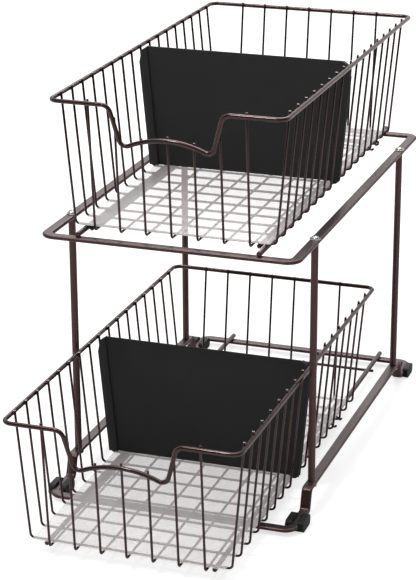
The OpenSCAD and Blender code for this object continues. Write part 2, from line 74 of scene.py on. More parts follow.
# Sockets that share a name with others of their node, by number.
MIX_COLOUR_A, MIX_COLOUR_B, MIX_COLOUR_OUT = 6, 7, 2
MIX_FLOAT_A, MIX_FLOAT_B, MIX_FLOAT_OUT = 2, 3, 0
RANDOM_LEAST, RANDOM_MOST, RANDOM_OUT = 2, 3, 1

WHITE = (1.0, 1.0, 1.0, 1.0)
NOISE_LOW, NOISE_HIGH = 0.3, 0.7  # most of a noise texture lies between these


# ---------------------------------------------------------------------------------------------
# Named options
# ---------------------------------------------------------------------------------------------


class Option(Enum):
    """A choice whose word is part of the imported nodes' names."""

    @property
    def word(self) -> str:
        """The choice as the nodes' names spell it."""
        return self.name.lower()


class Tier(Option):
    """The two levels of the stand, with the word that starts the names of that level's ring."""

    UPPER = "top"
    LOWER = "bottom"


class End(Option):
    """The two ends of the stand along y, with the sign of y there."""

    FRONT = -1
    REAR = 1


class Side(Option):
    """The two sides of the stand along x, with the sign of x there."""

    LEFT = -1
    RIGHT = 1


class Outline(Enum):
    """Cross-sections of the stock that the stand and the baskets are bent from."""

    ROUND = "round wire"
    OVAL = "flat oval bar"
    UPPER_TONGUE = "upper half of the flat oval bar"
    LOWER_TONGUE = "lower half of the flat oval bar"


# ---------------------------------------------------------------------------------------------
# Node building
# ---------------------------------------------------------------------------------------------


def add_node(tree: bpy.types.NodeTree, kind: str, feeds: dict[str | int, Any] | None = None,
             **settings: Any) -> bpy.types.Node:
    """Adds one node to a tree.

    Args:
        tree: The shader or geometry tree that gets the node.
        kind: Blender's type name of the node.
        feeds: Input name or number to a value, or to the output socket that feeds it.
        **settings: Properties of the node itself.

    Returns:
        The new node.
    """
    node = tree.nodes.new(kind)
    for key, value in settings.items():
        setattr(node, key, value)
    for key, value in (feeds or {}).items():
        if isinstance(value, bpy.types.NodeSocket):
            tree.links.new(value, node.inputs[key])
        else:
            node.inputs[key].default_value = value
    return node


def linear(colour: str) -> tuple[float, float, float, float]:
    """Turns an sRGB hex colour to linear values.

    Args:
        colour: The colour as "#rrggbb".

    Returns:
        Red, green, blue and a full alpha.
    """
    parts = [int(colour[i:i + 2], 16) / 255 for i in (1, 3, 5)]
    r, g, b = (v / 12.92 if v <= 0.04045 else ((v + 0.055) / 1.055) ** 2.4 for v in parts)
    return r, g, b, 1.0


def new_material(name: str) -> tuple[bpy.types.Material, bpy.types.NodeTree]:
    """Makes an empty node material.

    Args:
        name: Name of the material.

    Returns:
        The material and its cleared node tree.
    """
    material = bpy.data.materials.new(name)
    material.use_nodes = True
    material.node_tree.nodes.clear()
    return material, material.node_tree


def seen_directly(tree: bpy.types.NodeTree) -> bpy.types.NodeSocket:
    """Tells the rays that show the background itself, from the camera or through a clear piece.

    Args:
        tree: The shader tree that asks.

    Returns:
        A socket that gives 1 for those rays and 0 for the rest.
    """
    path = add_node(tree, "ShaderNodeLightPath")
    return add_node(tree, "ShaderNodeMath", {
        0: path.outputs["Is Camera Ray"], 1: path.outputs["Is Transmission Ray"]},
        operation="MAXIMUM").outputs[0]


# ---------------------------------------------------------------------------------------------
# Finishes
# ---------------------------------------------------------------------------------------------


@dataclass(frozen=True)
class PowderCoat:
    """Polyester powder coat with bronze flake, baked on mild steel.

    It gives the eye a dark brown metal, pink in its gloss, that turns neutral grey where it is
    seen
    flat against the light, over a fine orange peel. Faces that look up can carry a painted grey
    sheen:
    a lighter base colour that stands in for the bright room that upward flats reflect.
    """

    name: str
    colour: str
    worn_colour: str
    flat_tint: str
    roughness: float
    roughness_swing: tuple[float, float] = (-0.03, 0.04)
    flake_share: float = 0.65
    clear_share: float = 0.0
    clear_roughness: float = 0.1
    clear_ior: float = 1.7
    peel_mm: float = 1.6
    peel_depth_mm: float = 0.02
    peel_strength: float = 0.25
    cloud_mm: float = 45.0
    # painted sheen: a lighter grey base colour on faces that look up, standing in for the
    # reflection of the bright room
    haze_colour: str = ""
    haze_range: tuple[float, float] = (0.8, 0.98)  # upward part of the face's normal

    def material(self) -> bpy.types.Material:
        """Builds the coat.

        Returns:
            The material.
        """
        material, tree = new_material(self.name)
        place = add_node(tree, "ShaderNodeTexCoord").outputs["Object"]
        cloud = add_node(tree, "ShaderNodeTexNoise", {
            "Vector": place, "Scale": 1 / (self.cloud_mm * MM), "Detail": 3.0})
        tone = add_node(tree, "ShaderNodeMix", {
            "Factor": cloud.outputs["Fac"], MIX_COLOUR_A: linear(self.colour),
            MIX_COLOUR_B: linear(self.worn_colour)}, data_type="RGBA")
        # painted sheen: faces that look up get a lighter grey base colour, standing in for the
        # reflection of the bright room
        if self.haze_colour:
            facing = add_node(tree, "ShaderNodeNewGeometry").outputs["Normal"]
            upward = add_node(tree, "ShaderNodeSeparateXYZ", {"Vector": facing}).outputs["Z"]
            painted_sheen = add_node(tree, "ShaderNodeMapRange", {
                "Value": upward, "From Min": self.haze_range[0],
                "From Max": self.haze_range[1]}, interpolation_type="SMOOTHSTEP")
            tone = add_node(tree, "ShaderNodeMix", {
                "Factor": painted_sheen.outputs["Result"], MIX_COLOUR_A: tone.outputs[MIX_COLOUR_OUT],
                MIX_COLOUR_B: linear(self.haze_colour)}, data_type="RGBA")
        rough = add_node(tree, "ShaderNodeMapRange", {
            "Value": cloud.outputs["Fac"], "From Min": NOISE_LOW, "From Max": NOISE_HIGH,
            "To Min": self.roughness + self.roughness_swing[0],
            "To Max": self.roughness + self.roughness_swing[1]})
        peel = add_node(tree, "ShaderNodeTexNoise", {
            "Vector": place, "Scale": 1 / (self.peel_mm * MM), "Detail": 2.0})
        bump = add_node(tree, "ShaderNodeBump", {
            "Height": peel.outputs["Fac"], "Strength": self.peel_strength,
            "Distance": self.peel_depth_mm * MM})
        coat = add_node(tree, "ShaderNodeBsdfPrincipled", {
            "Base Color": tone.outputs[MIX_COLOUR_OUT], "Roughness": rough.outputs["Result"],
            "Normal": bump.outputs["Normal"], "Metallic": self.flake_share,
            "Coat Weight": self.clear_share, "Coat Roughness": self.clear_roughness,
            "Coat IOR": self.clear_ior, "Specular Tint": linear(self.flat_tint)})
        add_node(tree, "ShaderNodeOutputMaterial", {"Surface": coat.outputs["BSDF"]})
        return material


@dataclass(frozen=True)
class MouldedPlastic:
    """Injection-moulded polypropylene with a spark-eroded grain.

    It gives the eye an even charcoal with a soft, low sheen that keeps no sharp reflection.
    """

    name: str
    colour: str
    light_colour: str
    roughness: float
    ior: float
    roughness_swing: float = 0.05
    grain_mm: float = 0.7  # the real grain of about 0.15 mm, drawn coarser so that it shows
    grain_depth_mm: float = 0.03
    grain_strength: float = 0.35
    flow_mm: float = 60.0

    def material(self) -> bpy.types.Material:
        """Builds the plastic.

        Returns:
            The material.
        """
        material, tree = new_material(self.name)
        place = add_node(tree, "ShaderNodeTexCoord").outputs["Object"]
        grain = add_node(tree, "ShaderNodeTexNoise", {
            "Vector": place, "Scale": 1 / (self.grain_mm * MM), "Detail": 3.0})
        flow = add_node(tree, "ShaderNodeTexNoise", {
            "Vector": place, "Scale": 1 / (self.flow_mm * MM), "Detail": 2.0})
        tone = add_node(tree, "ShaderNodeMix", {
            "Factor": flow.outputs["Fac"], MIX_COLOUR_A: linear(self.colour),
            MIX_COLOUR_B: linear(self.light_colour)}, data_type="RGBA")
        bump = add_node(tree, "ShaderNodeBump", {
            "Height": grain.outputs["Fac"], "Strength": self.grain_strength,
            "Distance": self.grain_depth_mm * MM})
        rough = add_node(tree, "ShaderNodeMapRange", {
            "Value": grain.outputs["Fac"], "To Min": self.roughness - self.roughness_swing,
            "To Max": self.roughness + self.roughness_swing})
        skin = add_node(tree, "ShaderNodeBsdfPrincipled", {
            "Base Color": tone.outputs[MIX_COLOUR_OUT], "Roughness": rough.outputs["Result"],
            "Normal": bump.outputs["Normal"], "IOR": self.ior})
        add_node(tree, "ShaderNodeOutputMaterial", {"Surface": skin.outputs["BSDF"]})
        return material


@dataclass(frozen=True)
class PlatedSteel:
    """Bright zinc or nickel plate on cold-formed steel.

    It gives the eye a hard white glint broken by the faint rings left by forming.
    """

    name: str
    colour: str
    dull_colour: str
    roughness: float
    roughness_shares: tuple[float, float] = (0.6, 1.4)
    mark_mm: float = 0.5

    def material(self) -> bpy.types.Material:
        """Builds the plate.

        Returns:
            The material.
        """
        material, tree = new_material(self.name)
        place = add_node(tree, "ShaderNodeTexCoord").outputs["Object"]
        marks = add_node(tree, "ShaderNodeTexNoise", {
            "Vector": place, "Scale": 1 / (self.mark_mm * MM), "Detail": 4.0})
        tone = add_node(tree, "ShaderNodeMix", {
            "Factor": marks.outputs["Fac"], MIX_COLOUR_A: linear(self.colour),
            MIX_COLOUR_B: linear(self.dull_colour)}, data_type="RGBA")
        rough = add_node(tree, "ShaderNodeMapRange", {
            "Value": marks.outputs["Fac"], "To Min": self.roughness * self.roughness_shares[0],
            "To Max": self.roughness * self.roughness_shares[1]})
        plate = add_node(tree, "ShaderNodeBsdfPrincipled", {
            "Base Color": tone.outputs[MIX_COLOUR_OUT], "Metallic": 1.0,
            "Roughness": rough.outputs["Result"]})
        add_node(tree, "ShaderNodeOutputMaterial", {"Surface": plate.outputs["BSDF"]})
        return material


@dataclass(frozen=True)
class FrostedSheet:
    """Rolled clear vinyl sheet with a frosted face.

    It gives the eye a milky white veil, through which the wires that touch it from below stay
    sharp but pale.
    """

    name: str
    colour: str
    veil: float
    veil_swing: float = 0.02
    roughness: float = 0.32
    ior: float = 1.5
    frost_mm: float = 1.2  # the real frost of about 0.1 mm, drawn coarser so that it shows
    frost_depth_mm: float = 0.02
    frost_strength: float = 0.15
    wave_mm: float = 35.0

    def material(self) -> bpy.types.Material:
        """Builds the sheet.

        Returns:
            The material.
        """
        material, tree = new_material(self.name)
        place = add_node(tree, "ShaderNodeTexCoord").outputs["Object"]
        frost = add_node(tree, "ShaderNodeTexNoise", {
            "Vector": place, "Scale": 1 / (self.frost_mm * MM), "Detail": 3.0})
        wave = add_node(tree, "ShaderNodeTexNoise", {
            "Vector": place, "Scale": 1 / (self.wave_mm * MM), "Detail": 2.0})
        veil = add_node(tree, "ShaderNodeMapRange", {
            "Value": wave.outputs["Fac"], "From Min": NOISE_LOW, "From Max": NOISE_HIGH,
            "To Min": self.veil - self.veil_swing, "To Max": self.veil + self.veil_swing})
        bump = add_node(tree, "ShaderNodeBump", {
            "Height": frost.outputs["Fac"], "Strength": self.frost_strength,
            "Distance": self.frost_depth_mm * MM})
        sheet = add_node(tree, "ShaderNodeBsdfPrincipled", {
            "Base Color": linear(self.colour), "Roughness": self.roughness, "IOR": self.ior,
            "Alpha": veil.outputs["Result"], "Normal": bump.outputs["Normal"]})
        add_node(tree, "ShaderNodeOutputMaterial", {"Surface": sheet.outputs["BSDF"]})
        return material


@dataclass(frozen=True)
class Finishes:
    """The materials of the object, built once and shared by its pieces."""

    frame: bpy.types.Material
    wire: bpy.types.Material
    foot: bpy.types.Material
    divider: bpy.types.Material
    liner: bpy.types.Material
    plated: bpy.types.Material
    plug: bpy.types.Material

    @classmethod
    def build(cls) -> "Finishes":
        """Builds every finish.

        Returns:
            The set of materials.
        """
        return cls(
            # the frame's upward flats carry a painted grey sheen in their base colour
            frame=PowderCoat("bronze_powder_coat", "#442f2e", "#4b3837", "#dad5d4",
                             roughness=0.31, haze_colour="#554e4d").material(),
            wire=PowderCoat("bronze_coated_wire", "#2b1614", "#331c19", "#dacfcd",
                            roughness=0.2, clear_share=0.3, peel_mm=0.9).material(),
            foot=MouldedPlastic("moulded_black_foot", "#080808", "#101010", roughness=0.62,
                                ior=1.34, grain_mm=1.4, grain_depth_mm=0.12).material(),
            divider=MouldedPlastic("moulded_charcoal_panel", "#1a1919", "#201f1f",
                                   roughness=0.6, ior=1.36).material(),
            liner=FrostedSheet("frosted_vinyl_sheet", "#ece6e6", veil=0.33).material(),
            plated=PlatedSteel("bright_plated_steel", "#c9c9c7", "#8f8e8c",
                               roughness=0.2).material(),
            plug=PlatedSteel("plain_steel", "#9c9a97", "#7f7d7a", roughness=0.38).material())


# ---------------------------------------------------------------------------------------------
# Mesh building
# ---------------------------------------------------------------------------------------------


@dataclass(frozen=True)
class Bend:
    """A corner of a centreline in millimetres, and the radius that the stock is bent to there."""

    x: float
    y: float
    z: float
    radius: float = 0.0

    @property
    def point(self) -> Vector:
        """The corner's place in millimetres."""
        return Vector((self.x, self.y, self.z))

    def mirrored(self) -> "Bend":
        """The same bend on the other side of the part."""
        return replace(self, x=-self.x)


@dataclass(frozen=True)
class Centreline:
    """A path for a wire or bar, open or closed."""

    bends: tuple[Bend, ...]
    closed: bool = False


@dataclass(frozen=True)
class Section:
    """A cross-section of stock: its sizes as a whole bar, and the steps in each half circle."""

    outline: Outline
    width: float
    thickness: float
    steps: int

    @classmethod
    def wire(cls, diameter: float, steps: int) -> "Section":
        """The cross-section of a round wire or rod."""
        return cls(Outline.ROUND, diameter, diameter, steps)

    def mesh(self) -> bpy.types.Mesh:
        """Draws the cross-section as a closed loop of edges.

        Its width is along x, and its +y is the underside of the stock.

        Returns:
            The loop.
        """
        r = self.thickness / 2
        reach = (self.width - self.thickness) / 2
        turns = [math.pi / self.steps * i for i in range(2 * self.steps)]
        right = [(reach + r * math.sin(a), -r * math.cos(a)) for a in turns[:self.steps + 1]]
        if self.outline is Outline.ROUND:
            ring = [(r * math.cos(a), r * math.sin(a)) for a in turns]
        elif self.outline is Outline.OVAL:
            ring = right + [(-x, -y) for x, y in right]
        else:
            sign = 1 if self.outline is Outline.LOWER_TONGUE else -1
            half = [(x, sign * y) for x, y in right[self.steps // 2:]]
            ring = half + [(-x, y) for x, y in reversed(half)]
        mesh = bpy.data.meshes.new("outline")
        mesh.from_pydata([Vector((x, y, 0)) * MM for x, y in ring],
                         [(i, (i + 1) % len(ring)) for i in range(len(ring))], [])
        return mesh


def link(name: str, mesh: bpy.types.Mesh) -> bpy.types.Object:
    """Puts a mesh in the scene.

    Args:
        name: Name of the new object.
        mesh: Its mesh.

    Returns:
        The object, at the origin.
    """
    piece = bpy.data.objects.new(name, mesh)
    bpy.context.scene.collection.objects.link(piece)
    return piece


def drop(*pieces: bpy.types.Object) -> None:
    """Removes helper objects from the scene."""
    for piece in pieces:
        bpy.data.objects.remove(piece)


def to_mesh(work: bmesh.types.BMesh, name: str) -> bpy.types.Mesh:
    """Ends mesh work in a new mesh.

    Args:
        work: The work, which is freed.
        name: Name of the mesh.

    Returns:
        The mesh.
    """
    mesh = bpy.data.meshes.new(name)
    work.to_mesh(mesh)
    work.free()
    return mesh


def apply_modifiers(piece: bpy.types.Object) -> bpy.types.Mesh:
    """Keeps what a piece's modifiers make as its plain mesh.

    Args:
        piece: The piece, which is left with no modifier.

    Returns:
        Its new mesh.
    """
    graph = bpy.context.evaluated_depsgraph_get()
    mesh = bpy.data.meshes.new_from_object(piece.evaluated_get(graph), depsgraph=graph)
    piece.modifiers.clear()
    piece.data = mesh
    return mesh


def clean(mesh: bpy.types.Mesh, ease_mm: float = 0.0) -> None:
    """Merges doubles, eases sharp rims, turns faces outwards and shades the mesh.

    Args:
        mesh: The mesh to finish.
        ease_mm: Width of the small flat put on every sharp rim, or none.
    """
    work = bmesh.new()
    work.from_mesh(mesh)
    bmesh.ops.remove_doubles(work, verts=work.verts, dist=MERGE_MM * MM)
    bmesh.ops.dissolve_degenerate(work, edges=work.edges, dist=MERGE_MM * MM)
    bmesh.ops.recalc_face_normals(work, faces=work.faces)
    if ease_mm:
        sharp = [e for e in work.edges
                 if len(e.link_faces) == 2 and e.calc_face_angle(0) > RIM_ANGLE]
        bmesh.ops.bevel(work, geom=sharp, offset=ease_mm * MM, segments=RIM_STEPS, profile=0.5,
                        affect="EDGES", clamp_overlap=True)
    work.to_mesh(mesh)
    work.free()
    for layer in [a for a in mesh.attributes if a.name == "bend"]:
        mesh.attributes.remove(layer)
    mesh.shade_smooth()
    mesh.set_sharp_from_angle(angle=SMOOTH_ANGLE)


def level_normals(piece: bpy.types.Object) -> None:
    """Weighs the shading normals by face size, so that wide flats look flat.

    Args:
        piece: The piece, with its sharp edges marked.
    """
    modifier = piece.modifiers.new("level_normals", "WEIGHTED_NORMAL")
    modifier.mode = "FACE_AREA"
    modifier.weight = 100
    modifier.keep_sharp = True
    apply_modifiers(piece)


def round_edges(piece: bpy.types.Object, radius: float, steps: int) -> None:
    """Rounds the sharp edges of a moulded piece.

    Args:
        piece: The piece.
        radius: Width of the rounding in millimetres.
        steps: Steps in the rounding.
    """
    modifier = piece.modifiers.new("moulded_edges", "BEVEL")
    modifier.width = radius * MM
    modifier.segments = steps
    modifier.limit_method = "ANGLE"
    modifier.angle_limit = MOULD_ANGLE
    clean(apply_modifiers(piece))


def path_mesh(lines: Iterable[Centreline]) -> bpy.types.Mesh:
    """Turns centrelines into loose edges that carry their bend radii.

    Args:
        lines: The centrelines.

    Returns:
        A mesh of edges with a "bend" attribute in metres.
    """
    points: list[Vector] = []
    radii: list[float] = []
    edges: list[tuple[int, int]] = []
    for line in lines:
        first, count = len(points), len(line.bends)
        points += [bend.point * MM for bend in line.bends]
        radii += [bend.radius * MM for bend in line.bends]
        edges += [(first + i, first + i + 1) for i in range(count - 1)]
        if line.closed:
            edges.append((first + count - 1, first))
    mesh = bpy.data.meshes.new("centrelines")
    mesh.from_pydata(points, edges, [])
    mesh.attributes.new("bend", "FLOAT", "POINT").data.foreach_set("value", radii)
    return mesh


def lathe(name: str, profile: Sequence[tuple[float, float]], steps: int) -> bpy.types.Mesh:
    """Turns a profile round the z axis.

    Args:
        name: Name of the mesh.
        profile: Radius and height pairs in millimetres; a closed loop unless it ends on the axis.
        steps: Steps in the full circle.

    Returns:
        The turned mesh.
    """
    work = bmesh.new()
    turns = [2 * math.pi * i / steps for i in range(steps)]
    rings = [[work.verts.new((r * MM * math.cos(a), r * MM * math.sin(a), z * MM))
              for a in (turns if r else turns[:1])] for r, z in profile]
    pairs = list(zip(rings, rings[1:]))
    if profile[0][0] and profile[-1][0]:
        pairs.append((rings[-1], rings[0]))
    for low, high in pairs:
        for i in range(steps):
            j = (i + 1) % steps
            corners = (low[i % len(low)], low[j % len(low)],
                       high[j % len(high)], high[i % len(high)])
            work.faces.new(list(dict.fromkeys(corners)))
    bmesh.ops.recalc_face_normals(work, faces=work.faces)
    return to_mesh(work, name)


def packed(node: str) -> bpy.types.Object:
    """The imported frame's object for a node."""
    return bpy.data.objects[node]


def frame_copy(node: str, name: str, material: bpy.types.Material) -> bpy.types.Object:
    """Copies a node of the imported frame, with its loose triangles merged into flat faces.

    Args:
        node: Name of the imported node.
        name: Name of the new object.
        material: Its finish.

    Returns:
        The merged copy, at the origin.
    """
    work = bmesh.new()
    work.from_mesh(packed(node).data)
    bmesh.ops.remove_doubles(work, verts=work.verts, dist=FRAME_MERGE_MM * MM)
    bmesh.ops.dissolve_limit(work, angle_limit=FLAT_ANGLE, verts=work.verts, edges=work.edges)
    mesh = to_mesh(work, name)
    mesh.materials.clear()
    mesh.materials.append(material)
    return link(name, mesh)


class NodesTree:
    """A Geometry Nodes tree with named inputs that can be run on a mesh."""

    label = "tree"
    inputs: tuple[tuple[str, str], ...] = ()

    def __init__(self) -> None:
        """Makes the empty tree with its sockets."""
        self.tree = bpy.data.node_groups.new(self.label, "GeometryNodeTree")
        for name, kind in self.inputs:
            self.tree.interface.new_socket(name=name, in_out="INPUT", socket_type=kind)
        self.tree.interface.new_socket(name="Mesh", in_out="OUTPUT",
                                       socket_type="NodeSocketGeometry")
        self.build(add_node(self.tree, "NodeGroupInput").outputs)

    def build(self, given: bpy.types.NodeOutputs) -> None:
        """Adds the nodes; each tree has its own."""
        raise NotImplementedError

    def finish(self, geometry: bpy.types.NodeSocket, finish: bpy.types.NodeSocket) -> None:
        """Ends the tree in real geometry with its material.

        Args:
            geometry: What the tree has made.
            finish: The material socket.
        """
        real = add_node(self.tree, "GeometryNodeRealizeInstances", {"Geometry": geometry})
        dressed = add_node(self.tree, "GeometryNodeSetMaterial", {
            "Geometry": real.outputs["Geometry"], "Material": finish})
        add_node(self.tree, "NodeGroupOutput", {"Mesh": dressed.outputs["Geometry"]})

    def run(self, name: str, base: bpy.types.Mesh, ease_mm: float = 0.0,
            **values: Any) -> bpy.types.Object:
        """Runs the tree and keeps what it makes as a plain mesh.

        Args:
            name: Name of the piece.
            base: The mesh that goes in.
            ease_mm: Width of the flat put on sharp rims.
            **values: Input values, by input name with _ for a space.

        Returns:
            The piece, with no modifier left on it.
        """
        piece = link(name, base)
        modifier = piece.modifiers.new("nodes", "NODES")
        modifier.node_group = self.tree
        for item in self.tree.interface.items_tree:
            key = item.name.replace(" ", "_").lower()
            if item.in_out == "INPUT" and key in values:
                modifier[item.identifier] = values[key]
        made = apply_modifiers(piece)
        made.name = name
        clean(made, ease_mm)
        return piece


class BentStock(NodesTree):
    """Bends centrelines, gives them a cross-section and sets copies side by side."""

    label = "bent_stock"
    inputs = (("Path", "NodeSocketGeometry"), ("Outline", "NodeSocketObject"),
              ("Bend Steps", "NodeSocketInt"), ("Copies", "NodeSocketInt"),
              ("Spacing", "NodeSocketVector"), ("Finish", "NodeSocketMaterial"))

    def build(self, given: bpy.types.NodeOutputs) -> None:
        """Adds the nodes.

        Args:
            given: The group's input sockets.
        """
        tree = self.tree
        radius = add_node(tree, "GeometryNodeInputNamedAttribute", {"Name": "bend"},
                          data_type="FLOAT")
        line = add_node(tree, "GeometryNodeMeshToCurve", {"Mesh": given["Path"]})
        bent = add_node(tree, "GeometryNodeFilletCurve", {
            "Curve": line.outputs["Curve"], "Count": given["Bend Steps"],
            "Radius": radius.outputs["Attribute"]}, mode="POLY")
        level = add_node(tree, "GeometryNodeSetCurveNormal", {"Curve": bent.outputs["Curve"]},
                         mode="Z_UP")
        shape = add_node(tree, "GeometryNodeObjectInfo", {"Object": given["Outline"]})
        ring = add_node(tree, "GeometryNodeMeshToCurve", {"Mesh": shape.outputs["Geometry"]})
        stock = add_node(tree, "GeometryNodeCurveToMesh", {
            "Curve": level.outputs["Curve"], "Profile Curve": ring.outputs["Curve"],
            "Fill Caps": True})
        row = add_node(tree, "GeometryNodeMeshLine", {
            "Count": given["Copies"], "Offset": given["Spacing"]}, mode="OFFSET")
        copies = add_node(tree, "GeometryNodeInstanceOnPoints", {
            "Points": row.outputs["Mesh"], "Instance": stock.outputs["Mesh"]})
        self.finish(copies.outputs["Instances"], given["Finish"])

    def make(self, name: str, lines: Sequence[Centreline], section: Section,
             material: bpy.types.Material, copies: int = 1, spacing: Triple = (0, 0, 0),
             bend_steps: int = 8, ease_mm: float = 0.0) -> bpy.types.Object:
        """Makes a piece of bent stock.

        Args:
            name: Name of the piece.
            lines: Its centrelines.
            section: Its cross-section.
            material: Its finish.
            copies: How many copies of the lines to set in a row.
            spacing: Step between the copies in millimetres.
            bend_steps: Steps in each bend.
            ease_mm: Width of the flat put on the cut ends.

        Returns:
            The piece.
        """
        shape = link("outline", section.mesh())
        piece = self.run(name, path_mesh(lines), ease_mm, outline=shape, bend_steps=bend_steps,
                         copies=copies, spacing=[v * MM for v in spacing], finish=material)
        drop(shape)
        return piece


class SetOut(NodesTree):
    """Sets one small piece out on a mesh's points, each with a slightly different size."""

    label = "set_out"
    inputs = (("Places", "NodeSocketGeometry"), ("Piece", "NodeSocketObject"),
              ("Turn", "NodeSocketVector"), ("Spread", "NodeSocketFloat"),
              ("Seed", "NodeSocketInt"), ("Finish", "NodeSocketMaterial"))

    def build(self, given: bpy.types.NodeOutputs) -> None:
        """Adds the nodes.

        Args:
            given: The group's input sockets.
        """
        tree = self.tree
        shape = add_node(tree, "GeometryNodeObjectInfo", {"Object": given["Piece"]})
        smallest = add_node(tree, "ShaderNodeMath", {0: 1.0, 1: given["Spread"]},
                            operation="SUBTRACT")
        size = add_node(tree, "FunctionNodeRandomValue", {
            RANDOM_LEAST: smallest.outputs[0], RANDOM_MOST: 1.0, "Seed": given["Seed"]},
            data_type="FLOAT")
        turn = add_node(tree, "FunctionNodeEulerToRotation", {"Euler": given["Turn"]})
        pieces = add_node(tree, "GeometryNodeInstanceOnPoints", {
            "Points": given["Places"], "Instance": shape.outputs["Geometry"],
            "Rotation": turn.outputs["Rotation"], "Scale": size.outputs[RANDOM_OUT]})
        self.finish(pieces.outputs["Instances"], given["Finish"])

    def make(self, name: str, places: Sequence[Vector], shape: bpy.types.Mesh,
             material: bpy.types.Material, turn: Triple = (0, 0, 0), spread: float = 0.0,
             seed: int = 7) -> bpy.types.Object:
        """Sets a piece out.

        Args:
            name: Name of the piece that results.
            places: Where the copies go, in millimetres.
            shape: Mesh of one copy.
            material: Its finish.
            turn: How each copy is turned, in radians.
            spread: Largest share by which a copy is smaller.
            seed: Seed of the spread.

        Returns:
            The piece.
        """
        points = bpy.data.meshes.new("places")
        points.from_pydata([p * MM for p in places], [], [])
        one = link("one_copy", shape)
        piece = self.run(name, points, piece=one, turn=turn, spread=spread, seed=seed,
                         finish=material)
        drop(one)
        return piece


@dataclass(frozen=True)
class Workshop:
    """The two trees and the finishes that every sub-assembly is made with."""

    stock: BentStock
    set_out: SetOut
    finishes: Finishes


def place(piece: bpy.types.Object, body: str, slot: str, *nodes: str) -> None:
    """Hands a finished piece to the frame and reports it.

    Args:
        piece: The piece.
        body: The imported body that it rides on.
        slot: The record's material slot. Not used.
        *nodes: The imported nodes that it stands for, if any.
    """
    if nodes:
        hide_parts(*nodes)
    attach(piece, body)
    LOG.info("%s: %d faces, on %s", piece.name, len(piece.data.polygons), body)


# ---------------------------------------------------------------------------------------------
# The stand
# ---------------------------------------------------------------------------------------------


@dataclass(frozen=True)
class Layout:
    """Sizes and levels, in millimetres, that the stand and its baskets share."""

    stand_middle: float = 60.3
    stand_width: float = 242
    stand_length: float = 442
    post_spacing: float = 314
    tier_spacing: float = 265
    bar_thickness: float = 3.8
    foot_sole: float = 4.3
    leg_rise: float = 20.3
    runner_diameter: float = 5
    runner_spacing: float = 175.6
    wire_diameter: float = 2.3
    running_gap: float = 0.3
    weld: float = 0.1
    upper_pull: float = 0.7
    lower_pull: float = 126

    def bar_level(self, tier: Tier) -> float:
        """Middle of a tier's front and rear bars."""
        lowest = self.foot_sole + self.bar_thickness / 2
        return lowest + self.tier_spacing if tier is Tier.UPPER else lowest

    def rail_level(self, tier: Tier) -> float:
        """Middle of a tier's side rails, which stand on raised legs in the lower ring."""
        return self.bar_level(tier) + (self.leg_rise if tier is Tier.LOWER else 0)

    def runner_level(self, tier: Tier) -> float:
        """Centre of a tier's runner rods, which lie on its bars."""
        lift = self.bar_thickness / 2 + self.runner_diameter / 2 - self.weld
        return self.bar_level(tier) + lift

    def floor_level(self, tier: Tier) -> float:
        """Centre of a basket's cross wires on its floor."""
        return (self.runner_level(tier) + self.runner_diameter / 2 + self.wire_diameter / 2
                + self.running_gap)

    def basket_middle(self, tier: Tier) -> float:
        """Where a basket's middle cross wire stands along y."""
        return self.stand_middle - (self.upper_pull if tier is Tier.UPPER else self.lower_pull)

    def post_place(self, end: End, side: Side, z: float = 0.0) -> Vector:
        """A place on the middle line of a post.

        Args:
            end: Front or rear.
            side: Left or right.
            z: Height of the place.

        Returns:
            The place in millimetres.
        """
        return Vector((side.value * self.stand_width / 2,
                       self.stand_middle + end.value * self.post_spacing / 2, z))


